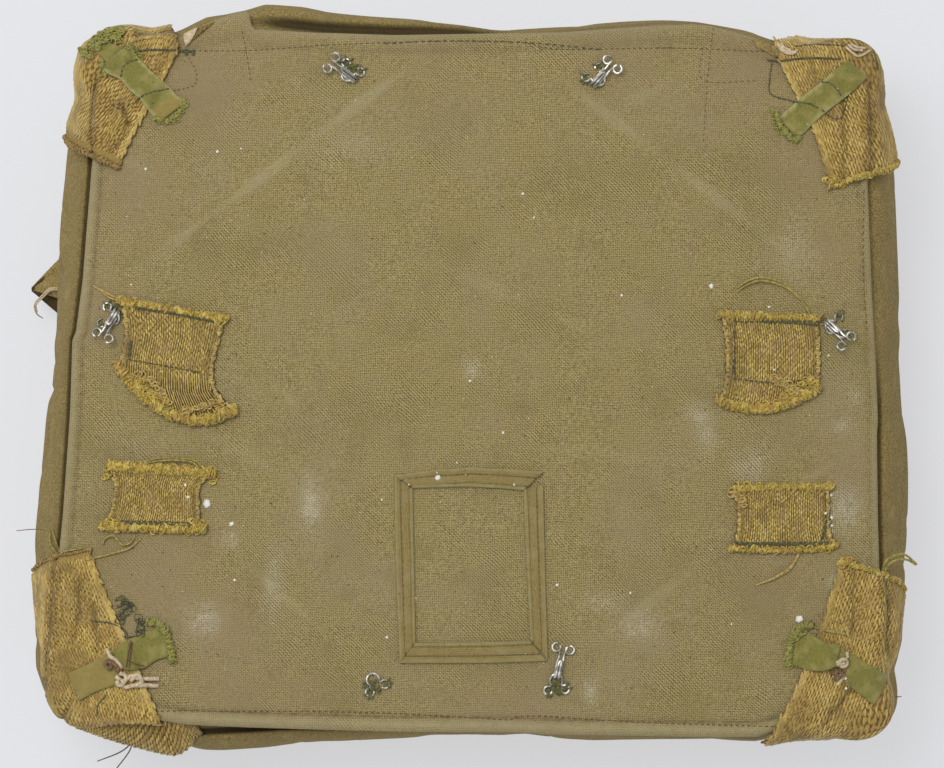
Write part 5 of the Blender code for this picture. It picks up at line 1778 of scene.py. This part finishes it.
seamSizes = {
    "panel": {  # plan points, pitch, radius and thread of each line of stitches
        "top": ([(-135, 154.5), (-105, 154.5), (-66, 157), (-15, 158.7), (23, 158), (41, 155), (94, 155.6),
                 (136, 154)], 2.6, 0.30, "olive"),
        "topDark": ([(-40, 157.6), (-15, 158.9), (23, 158.2), (59, 155)], 3.4, 0.42, "green"),
        "topDarkRight": ([(87, 155.7), (93, 155.7)], 3.0, 0.42, "green"),
        "bottom": ([(-146, -153.4), (-74, -153.6), (-33, -154.7), (4, -156.8), (17, -157.5), (21, -156),
                    (35, -156),
                    (80, -158.7), (139, -160.6)], 2.7, 0.32, "brown"),
        "right": ([(183, 88), (182.5, 50), (184, 24)], 3.2, 0.26, "brown"),
        "tabSeam": ([(-107.5, 163), (-106.2, 157), (-104.6, 148), (-103.4, 141)], 2.4, 0.3, "olive"),
        "fold": ([(113, 166), (112, 158), (110, 140), (108, 112)], 2.8, 0.22, "olive"),
        "box": ([(108, 155.5), (108, 140.5), (132, 140)], 2.8, 0.22, "olive"),
    },
    "strap": {  # here and below plan points and a radius, which also says how the line is sewn
        "farLeft": ([(-155, 153.9), (-148.9, 154.2), (-141.1, 154.1), (-132.1, 153.9)], 0.85),
        "farLeftBlock": ([(-133.6, 154.6), (-130.4, 154.4)], 1.0),
        "farLeftBlockMiddle": ([(-133.6, 153.6), (-130.4, 153.6)], 1.0),
        "farLeftBlockLow": ([(-133.6, 152.6), (-130.4, 152.5)], 1.0),
        "farLeftDashes": ([(-132.3, 150.6), (-129.6, 146.1), (-128.6, 141.4), (-130, 138), (-134.4, 136.4),
                           (-139, 135.6)], 0.25),
        "farLeftArc": ([(-167.3, 128), (-163.4, 126.4), (-160.3, 128.2)], 0.32),
        "farRight": ([(139, 149.8), (145.1, 149.2), (151.1, 149.9), (161.2, 150.4), (171.4, 150.1)], 0.85),
        "farRightDown": ([(140.1, 147.5), (139.3, 142.5), (138.8, 137), (139.3, 134.4), (142.1, 132.4),
                          (150.1, 130.4)], 0.34),
        "farRightLoop": ([(163.7, 125.4), (168.2, 122.4), (172.2, 122.4), (174, 126.9), (175.5, 132.4)],
                         0.32),
        "farRightBinding": ([(151.4, 156.2), (157.9, 157), (164.4, 157.2), (170.4, 157), (175.5, 156.2)],
                            0.42),
        "nearLeftGreen": ([(-176.1, -111.8), (-167.7, -112.7), (-161.2, -115.6), (-159.3, -119.5)], 0.3),
        "nearLeftCurl": ([(-160, -119.5), (-153.5, -118.2), (-151.6, -115), (-154.2, -112.4),
                          (-155.4, -116.3),
                          (-152.2, -117.6)], 0.3),
        "nearLeftTail": ([(-169, -146), (-172.9, -150.5), (-173.5, -155.6)], 0.28),
        "nearLeftLoops": ([(-163.8, -105.3), (-160, -102.7), (-157.4, -107.3), (-160, -106.6),
                           (-163.2, -109.2),
                           (-158.5, -104.5)], 0.32),
    },
    "tape": {
        "farLeftArc": ([(-163.5, 142), (-162.7, 145.6), (-159.9, 148.2), (-156.5, 149.2)], 0.32),
        "farLeftLine": ([(-156.3, 130.6), (-152.1, 133.2), (-147.5, 134.7), (-142.3, 136)], 0.36),
        "farRightArc": ([(163.7, 138.9), (166.7, 138.4), (170.2, 135.4), (171.7, 133.3)], 0.32),
        "farRightLine": ([(150.1, 130.1), (156.7, 128.8), (160.7, 127.1)], 0.36),
    },
    "stub": {
        "leftFarTop": ([(-155.2, 33.2), (-138, 30.6), (-120.6, 27)], 0.9),
        "leftFarSlit": ([(-158.4, 17), (-158.9, 14.6), (-158.7, 12.4)], 0.9),
        "leftFarLow": ([(-158.7, 9.3), (-127.6, 3.7)], 0.4),
        "leftNearLow": ([(-162, -65.4), (-128.5, -66.4)], 0.36),
        "rightFarTop": ([(122.5, 26.8), (157, 27.4)], 0.36),
        "rightFarSideA": ([(122, 27), (122, 0.6)], 0.22),
        "rightFarLow": ([(122, 0.4), (140, -1.4), (156.6, 0.2)], 0.34),
        "rightNearLow": ([(124.6, -75.6), (164, -75.4)], 0.36),
        "rightNearSide": ([(164.4, -66), (163.6, -53)], 0.32),
        "rightFarTopThick": ([(136, 26.8), (150, 26.4), (159.6, 25.4)], 0.8),
        "rightFarSlit": ([(121.8, 8.6), (121.5, 6), (121.8, 3.4)], 1.0),
        "leftFarSlitLow": ([(-158.9, 15.6), (-159.2, 11.6)], 1.0),
        "leftNearThick": ([(-160, -66.6), (-146, -67), (-130.6, -68)], 0.7),
        "rightNearThick": ([(122, -75.4), (126, -76.2), (145, -76.2), (158, -76.6)], 0.7),
        "rightNearUp": ([(164.2, -66), (163, -71), (161.6, -75.4)], 0.9),
        "rightNearCorner": ([(126, -50.4), (129.6, -49.6), (133.4, -49.8)], 0.9),
    },
}
threadByName = {"olive": oliveThread, "green": greenThread, "brown": brownThread}
for kind, material in threadByName.items():
    for key, (plan, pitch, radius, name) in seamSizes["panel"].items():
        if name == kind:
            stitch("panelSeam" + capital(key), [layPath(plan, 0.02, 0.8, ["panel"])], material,
                   pitch=pitch, radius=radius, share=0.66, wander=0.12, seed=len(key))
wallLines = [wallRing(bodySizes["baseSeam"] + step) for step in (-3.4, 3.4)]
wallLines += [cornerLine(a, b, step) for a in (-1, 1) for b in (-1, 1) for step in (-0.016, 0.016)]
stitch("wallSeams", wallLines, oliveThread, pitch=3.2, radius=0.34, share=0.68, wander=0.1, seed=31)
stitch("strapStitches", seamLines("strap", 0.3, 0.8, rise=0.6), greenThread, pitch=2.1, radius=0.42,
       share=1.15, wander=0.2, seed=4)
stitch("strapFineStitches", seamLines("strap", 0, 0.26, 0.15), oliveThread, pitch=2.0, radius=0.27, share=0.6,
       wander=0.2, seed=14)
pale = [layPath([(157.9, -114.4), (164.3, -116.4), (170.8, -117.4), (177.2, -119.8)], 1.0, 0.8)]
thread("nearRightPaleThread", pale, oliveYarn, 0.55, [(0.5, 1.0, 1.0, 0.9, 0.6)])
thread("strapLooseThreads", seamLines("strap", 0.26, 0.3, 0.3), greenThread, 0.3)
stitch("strapThickStitches", seamLines("strap", 0.8, 2, 0.4), greenThread, pitch=1.7, radius=0.62, share=1.25,
       wander=0.3, seed=15)
stitch("tapeStitches", seamLines("tape", 0, 2, rise=0.5, step=0.7), greenThread, pitch=1.9, radius=0.4,
       share=1.1, wander=0.12, seed=6)
stitch("stubStitches", seamLines("stub", 0, 0.6, 0.35), greenThread, pitch=2.4, radius=0.4, share=0.95,
       wander=0.22, seed=8)
stitch("stubThickStitches", seamLines("stub", 0.6, 2, 0.5), greenThread, pitch=2.2, radius=0.72, share=1.15,
       wander=0.25, seed=12)
print("stitch lines: panel, straps, tapes and stubs")

# ---- overcast ends, knots and tufts

endSizes = {
    "straps": {  # material, roll, yarn, pitch
        "farLeft": (tanYarn, 1.3, 0.4, 0.8), "farRight": (mustardYarn, 1.5, 0.45, 0.6),
        "nearLeft": (tanYarn, 0.95, 0.3, 1.5), "nearRight": (mustardYarn, 1.35, 0.42, 0.65),
    },
    "tapes": {  # points along each overcast end, and the roll
        "farRight": ([(142, 125.3), (143, 120.8), (145.5, 116.7), (148.5, 113.2), (151, 112),
                      (153.3, 113.7)], 1.3),
        "nearLeft": ([(-150, -112.4), (-146.4, -112.4), (-142.9, -115), (-140.6, -119.5), (-139.3, -124.7),
                      (-138.7, -130.5)], 2.0),
        "nearRight": ([(157.3, -113.4), (152.7, -114.4), (149.5, -116.9), (147.6, -121.5), (146.6, -126.6),
                       (146.6, -132.4)], 2.0),
        "farLeftEnd": ([(-134.6, 131.4), (-135.6, 127), (-140, 122.3), (-143.1, 120.7), (-147.5, 122.3)],
                       1.1),
        "farLeftSide": ([(-172.6, 148.7), (-172.1, 145.1), (-170.8, 142)], 1.2),
    },
}
for key, (material, roll, yarn, pitch) in endSizes["straps"].items():
    base = strapBases[key]
    line = base[0] + gridNormals(base)[0] * (weave["thickness"] * 0.75 * mm) + (base[0] - base[1]) * 0.45
    line = [Vector(p) for p in line[::2]]
    thread("strapEndCore" + capital(key), [smoothPath(line, 0.8)], material, roll * 0.7)
    wind("strapEnd" + capital(key), [smoothPath(line, 0.8)], material, roll, yarn, pitch, lean=0.7,
         scatter=0.35, small=0.75, large=1.15, seed=31)
for key, (plan, roll) in endSizes["tapes"].items():
    line = layPath(plan, roll * 0.75, 0.7)
    name = "tapeEnd" + capital(key)
    thread(name + "Core", [line], limeYarn, roll * 0.62)
    wind(name, [line], limeYarn, roll * 0.8, 0.4, 0.36, lean=0.9, scatter=0.4, small=0.7, large=1.2, seed=33)


def curls(places, reach, rng, turns=(0.8, 1.6), rise=(0.2, 2.2)):
    # Loose loops of yarn that stand up out of each place.
    lines = []
    for x, y in places:
        for _ in range(2):
            radius, start = rng.uniform(*reach), rng.uniform(0, 2 * math.pi)
            way, tall = rng.uniform(*turns), rng.uniform(*rise)
            cx, cy = x + rng.normal(0, 0.5), y + rng.normal(0, 0.5)
            flatten = rng.uniform(0.45, 1.0)
            loop = []
            for k in range(9):
                turn = start + way * 2 * math.pi * k / 8
                up = 0.3 + tall * math.sin(math.pi * k / 8)
                loop.append((cx + radius * math.cos(turn), cy + radius * flatten * math.sin(turn), up))
            lines.append([Vector((p.x, p.y, max(p.z, 0.1))) for p in layPath(loop, 0.1, 0.6)])
    return lines


def between(plan, step):
    # Plan points every step millimetres along a line.
    line = smoothPath([Vector((*p, 0)) * mm for p in plan], step)
    return [(p.x / mm, p.y / mm) for p in line]


rng = np.random.default_rng(44)
bunch = between([(-179.4, 157), (-175.2, 161.1), (-171.1, 163.7), (-166.9, 165.3), (-163.8, 162.7)], 1.0)
bunch += between([(-177.4, 155), (-172.4, 158.8), (-167.9, 161.4), (-164.9, 159.1)], 1.0)
bunch += between([(-183, 155.4), (-180.9, 153.4), (-178.3, 150.8)], 1.5)
thread("farLeftBunch", curls(bunch, (0.9, 1.9), rng), limeYarn, 0.42)
fringe = between([(-161.4, 155.9), (-157.3, 154.9), (-155.4, 151.8)], 1.2)
fringe += between([(-133.2, 129.8), (-136, 125.4), (-139.6, 120.7), (-146.1, 120.7)], 1.6)
fringe += between([(140.3, 125.5), (143.8, 116.9), (151.6, 113.9)], 2.2)
fringe += between([(-150, -112.4), (-142.9, -115), (-138.7, -130.5)], 2.2)
fringe += between([(157.3, -114), (147.6, -121.5), (146.6, -132.4)], 2.2)
thread("tapeFringes", curls(fringe, (0.7, 1.4), rng, rise=(0.2, 1.2)), limeYarn, 0.27)
knots = between([(165.4, 93.3), (168, 92.8), (170, 91.2)], 1.0) + between([(170.8, -86), (173.4, -83.4),
                                                                           (176, -83.8)], 1.1)
thread("strapEndKnots", curls(knots, (1.0, 1.9), rng), mustardYarn, 0.5)
tangle = between([(-164, -103.6), (-160.6, -102.4), (-158, -105.4), (-161, -108.4), (-163.6, -112)], 5.0)
tangle += between([(-155, -110), (-152.4, -113), (-153.6, -117.6)], 5.0)
thread("greenTangle", curls(tangle, (0.8, 2.4), rng, turns=(0.4, 0.9), rise=(0.3, 1.6)), greenThread, 0.18)
stubTufts = {
    "leftFar": between([(-158, 1), (-152, -3), (-145, -8), (-140, -11)], 1.6)
    + between([(-118, -12), (-112, -16)], 1.4),
    "leftNear": between([(-166, -38.5), (-150, -40), (-124, -43)], 3.0)
    + between([(-169, -69), (-128, -71)], 3.5)
    + between([(-169.4, -65.6), (-165, -67)], 1.0) + between([(-129, -66), (-124.6, -67)], 1.0)
    + between([(-170.4, -45.4), (-167.6, -42)], 1.4) + between([(-121.6, -44), (-119.4, -46.4)], 1.2),
    "rightFar": between([(115, -10), (121, -13), (129, -13.5), (138, -12), (147.6, -8.4), (159.6, -1.4)], 1.8)
    + between([(144, -8), (150, -4), (157, 0.6), (158, -3)], 1.3) + between([(117, 31), (130, 31)], 4.0),
    "rightNear": between([(121, -78.5), (166, -78.5)], 4.0) + between([(122, -49), (166, -48.5)], 4.5),
}
pale = between([(-155, 3), (-150, 0), (-146, -3), (-143, -7)], 1.5)
pale += between([(-134, -14.6), (-128, -13.4), (-122, -11.6), (-118, -10)],
                1.8) + between([(140, 0.4), (145, -2.4), (149.6, -5.6)], 1.3)
pale += between([(120.4, -52), (123.6, -54), (126, -58)], 1.2)
thread("stubTuftsPale", curls(pale, (0.9, 1.9), rng, rise=(0.8, 2.6)), paleYarn, 0.42)
for key, places in stubTufts.items():
    thread("stubTufts" + capital(key), curls(places, (0.8, 1.7), rng, rise=(0.2, 1.6)), mustardYarn, 0.36)
cords = {
    "nearLeftCream": (creamThread, 1.05, [
        [(-164.2, -137.2, 1), (-161, -139.4, 2), (-157.4, -137, 2.2), (-153.2, -138.4, 1.5),
         (-144.8, -138.4, 0.8)],
        [(-163.8, -139.9, 0.8), (-160.2, -142.1, 1.2), (-156.1, -141.4, 1.8), (-151.3, -141.4, 1.6),
         (-145.1, -141.8, 0.8)],
        [(-162.6, -135.7, 1.6), (-159.7, -137.4, 2.6), (-161.6, -141.1, 2.4), (-164.4, -140.8, 0.8)],
        [(-157.6, -139.4, 1.6), (-154.6, -136.4, 2.4), (-152.6, -139.8, 2.2), (-155.6, -141.6, 2.4)],
        [(-169, -124.7, 0.6), (-167.1, -127.9, 1.4), (-164.5, -129.8, 1.2), (-162, -133, 1.4)],
    ]),
    "nearLeftBrown": (brownCord, 0.9, [
        [(-169.6, -132.4, 0.8), (-168.3, -130.3, 2), (-166, -131, 2.4), (-163.8, -132.4, 2.2),
         (-163.2, -135, 1)],
        [(-170, -131, 0.6), (-167.5, -133.4, 2.2), (-165.3, -130.4, 1.8), (-164, -134.6, 1.0)],
    ]),
    "nearLeftStitches": (brownThread, 0.34, [
        [(-159.6, -133.1, 0.3), (-158.7, -126.6, 0.5), (-157.7, -120.8, 0.3)],
        [(-158.3, -133.4, 0.3), (-157.6, -126.6, 0.5), (-157.2, -121.4, 0.3)],
        [(-158.7, -129.8, 0.4), (-155, -131.6, 0.5), (-151.6, -132.4, 0.3)],
    ]),
    "nearRightCream": (creamThread, 0.95, [
        [(169, -132, 1.0), (169.8, -129.8, 2), (172.4, -129.4, 2.2), (173, -131.8, 1.8), (170.6, -132.6, 2.6),
         (170.6, -130.8, 2.9), (172, -131, 2.8)],
        [(168.6, -130.6, 0.8), (170.2, -131.6, 2.2), (172.6, -132.8, 1.2)],
        [(172.1, -136.3, 1.0), (170.8, -138.9, 0.8), (168.9, -141.1, 0.4)],
        [(173.3, -128.6, 0.8), (173, -126, 1.2)],
    ]),
    "nearRightBrown": (brownCord, 0.7, [
        [(165.6, -136.3, 0.5), (168.9, -135, 1.6), (172.1, -136.3, 1.4), (169.5, -139.5, 0.8),
         (166.9, -138.2, 0.6)],
        [(167, -134.6, 0.8), (170, -137.4, 1.8), (172, -134.6, 1.4)],
    ]),
    "farRightCream": (creamThread, 0.62, [
        [(142.6, 157.4, 0.6), (144, 154.2, 1.2), (146.3, 152.7, 1.4), (149.6, 152.2, 1.4),
         (151.8, 154.2, 0.8)],
        [(143.8, 156.6, 1.2), (146, 153.6, 1.8), (150.4, 153, 1.2)],
        [(144.6, 157.6, 0.8), (145.4, 155.4, 1.8), (148.6, 153.8, 1.4)],
        [(174.6, 156.2, 0.8), (177.6, 153.2, 1.2), (180.2, 151.6, 1.4), (183.6, 152.8, 1), (186, 154.6, 0.6)],
        [(176, 157, 0.8), (178.4, 154.8, 1.6), (182.6, 154.4, 1.2)],
        [(177.4, 157.4, 0.6), (180.2, 155.8, 1.8), (184, 155.6, 0.8)],
    ]),
}
for key, (material, radius, paths) in cords.items():
    name = "cord" + capital(key)
    thread(name, [layPath(plan, 0.2, 0.6) for plan in paths], material, radius)
print("overcast ends, knots and tufts are in place")

# ---- scraps of cloth at the far corners

scraps = {
    "FarLeftCream": (creamThread, [((-135, 162.6), (-128, 166), 1.0), ((-134.8, 159.6), (-129.6, 162), 1.4),
                                   ((-134, 156.2), (-132.2, 157.6), 0.8)]),
    "FarLeftBrown": (strapWebbing, [((-127.6, 165.4), (-120.6, 168), 0.3),
                                    ((-129.4, 162), (-125.2, 164), 0.6),
                                    ((-131.6, 158.8), (-129.8, 160), 0.4)]),
    "FarRightBrown": (wallCanvas, [((131.2, 159.6), (136.4, 160.6), 0.3),
                                   ((133.4, 155.6), (139.6, 157.6), 0.8),
                                   ((137.6, 153.6), (143.2, 154.2), 0.5),
                                   ((141.6, 151), (143.4, 151.4), 0.2)]),
}
for key, (material, rows) in scraps.items():
    band("scrap" + key, rows, material, 0.7, spacing=0.9, lift=0.5)

# ---- loose threads and flecks

looseSizes = {  # material, radius, then paths of x, y and a lift off what is under them
    "rightFar": (oliveYarn, 0.5, [
        [(157, 32, 0.3), (153, 37, 2), (146, 43, 3), (136, 46, 3), (129.5, 45, 2), (123, 41, 0.3)],
        [(157, 31, 0.3), (152, 38.5, 2), (145, 44.6, 2.4), (136, 47.4, 2.6), (129, 46.4, 1.6),
         (123.6, 43, 0.3)],
    ]),
    "leftFar": (paleYarn, 0.48, [[(-163.3, 37.1, 1), (-170, 40.5, 1.4), (-176.8, 44.1, 0.4)],
                                    [(-163, 36.4, 1), (-169, 38.6, 1.2), (-174, 42.6, 0.4)]]),
    "rightNear": (paleYarn, 0.5, [[(151.3, -80.3, 0.5), (148, -86.3, 1.2), (139.7, -91.9, 1.6),
                                   (131.8, -95.1, 0.3)],
                                      [(151.8, -80.6, 0.5), (147.4, -87.6, 1.0), (139.2, -92.6, 1.2)]]),
    "leftNearOver": (oliveYarn, 0.45, [
        [(-152.1, -38, 2.4), (-146, -36.6, 1.4), (-140, -36.4, 1.2), (-130.4, -37, 1.2), (-125.8, -39.8, 1.6),
         (-124.4, -44, 2.0)],
        [(-151, -38.6, 2.6), (-144, -37.6, 3.6), (-136, -37.4, 3.4), (-129.6, -38.4, 3.2),
         (-126.4, -41, 2.6)],
    ]),
    "nearLeftYellow": (oliveYarn, 0.46, [
        [(-193, -81.2, 0.6), (-197, -76.1, 1.6), (-197.7, -69.6, 0.5)],
        [(-192.6, -80.3, 0.6), (-194.4, -74.2, 1.8), (-196.3, -69.6, 0.5)],
        [(-193, -81.2, 1.2), (-187, -79.3, 1.6), (-180, -78, 0.4)],
        [(-178.7, -83.5, 0.8), (-167.5, -80.7, 1.4), (-158.7, -78, 1.6), (-154, -73.8, 0.4)],
        [(-171.2, -76.6, 0.3), (-170.3, -73.8, 1.8), (-166.1, -72.4, 2.4), (-162, -76.6, 1.6),
         (-157.8, -75.2, 1),
         (-156.4, -71.9, 0.3)],
    ]),
    "farRightDark": (greenThread, 0.24, [[(187.9, 155.9, 1.0), (189.1, 151.2, 1.2), (189.6, 145.6, 0.4)]]),
}
for key, (material, radius, paths) in looseSizes.items():
    name = "loose" + capital(key)
    thread(name, [layPath(plan, 0.15, 0.9) for plan in paths], material, radius,
           thin=[(0.9, 1, 1, 1, 0.8)] * len(paths))
hanging = {  # beyond the rim, so each has its own heights above the floor
    "nearLeftTails": (oliveThread, 0.34, [
        [(-159.6, -169.2, 78), (-167.3, -174.7, 62), (-180.3, -180.2, 40)],
        [(-159.6, -169.2, 78), (-163.6, -175.3, 60), (-172.3, -185, 38)],
    ]),
    "leftThin": (brownThread, 0.2, [[(-200, -69.4, 96), (-206, -69.2, 92), (-214, -69.8, 86)]]),
    "rightLoop": (oliveYarn, 0.6, [
        [(190.9, -88.1, 103), (191.9, -84.2, 106), (196.1, -81.4, 107), (200.9, -81.1, 106),
         (206.9, -85.6, 102)],
        [(191.8, -88.4, 103), (194.2, -84.9, 105), (198.4, -83.2, 106), (202.6, -83.6, 104),
         (206.4, -85.8, 102)],
    ]),
    "rightDark": (greenThread, 0.24, [[(196.6, -147.3, 96), (200.2, -147.1, 95)]]),
    "flapThread": (creamThread, 0.42, [
        [(-201, 49.3, 29), (-206.1, 48.8, 30), (-209.2, 46.3, 28), (-212.5, 43.5, 26), (-214.1, 41.5, 24),
         (-214.3, 38.8, 21), (-213.3, 36.8, 18), (-211.2, 35.4, 15)],
        [(-201, 48.6, 29), (-205.8, 48, 30), (-208.6, 45.6, 28), (-211.9, 42.9, 26), (-213.5, 40.8, 24),
         (-213.4, 38, 20)],
    ]),
}
for key, (material, radius, paths) in hanging.items():
    name = "hanging" + capital(key)
    thread(name, [smoothPath([Vector(p) * mm for p in path], 0.9) for path in paths], material, radius,
           thin=[(1, 1, 0.8)] * len(paths))

fleckSizes = {
    "large": [(-15.8, -45.5, 3.4), (-123, -57.4, 5.4), (151.7, -110.9, 4.6), (166.6, -53.5, 2.2),
              (166.8, -63.9, 2.5), (-111.5, -66.9, 3.2), (111.3, 43.8, 2.6),
              (39.4, -95.1, 2.0), (173, -138, 3.0), (170.8, -136.6, 1.8)],
    "small": [(-118.8, 106.7), (-107.7, 108.1), (28.8, 75.6), (23.7, 86.8), (69.6, 39.4), (111.4, 43.2),
              (-0.9, -0.5),
              (14.4, -24.6), (-16.2, -43.2), (-7, -38.5), (19.5, -48.7), (-29.2, -48.7), (-26, -101.2),
              (-39.4, -119.3),
              (-111.4, -66.8), (-110, -92.8), (-41.8, -55.7), (73.3, -98.8), (120.2, -113.2), (173.1, -142.9),
              (-158.7, 44.5), (-152.2, 98.6), (-132.8, -48.8), (-131.6, -54.4), (163.9, -61.9),
              (166.9, -67.6),
              (166.9, -70.4), (140.3, 4.6), (138.2, 34), (147.6, -3.5), (165.9, 11.4)],
    "lint": 260,  # how many of each
    "dust": 120,
}
rng = np.random.default_rng(9)
spots = fleckSizes["large"] + [(x, y, rng.uniform(1.0, 1.9)) for x, y in fleckSizes["small"]]
places = [lay(x, y, 0.2) for x, y, _ in spots]
sizes = [(s * rng.uniform(0.7, 1), s, s * 0.5) for _, _, s in spots]
turns = [(math.cos(a), math.sin(a), 0.05) for a in rng.uniform(0, 6.28, len(spots))]
grains("plasterFlecks", places, [(rng.normal(0, 0.15), rng.normal(0, 0.15), 1) for _ in spots], turns, sizes,
       chalkWhite, segments=5, rings=3, seed=2)
dust = [(rng.uniform(-180, 180), rng.uniform(-150, 150)) for _ in range(fleckSizes["lint"])]
sizes = [(rng.uniform(0.25, 0.5), rng.uniform(0.6, 2.2), 0.25) for _ in dust]
turns = [(math.cos(a), math.sin(a), 0.02) for a in rng.uniform(0, 6.28, len(dust))]
grains("darkLint", [lay(x, y, 0.05) for x, y in dust], [(0, 0, 1)] * len(dust), turns, sizes, lintGrey,
       segments=5, rings=3, seed=3)
dust = [(rng.uniform(-180, 180), rng.uniform(-150, 150)) for _ in range(fleckSizes["dust"])]
sizes = [(rng.uniform(0.3, 0.6), rng.uniform(0.3, 0.9), 0.25) for _ in dust]
grains("paleDust", [lay(x, y, 0.05) for x, y in dust], [(0, 0, 1)] * len(dust), turns[:len(dust)], sizes,
       chalkWhite,
       segments=5, rings=3, seed=3)
print("loose threads and flecks are in place")
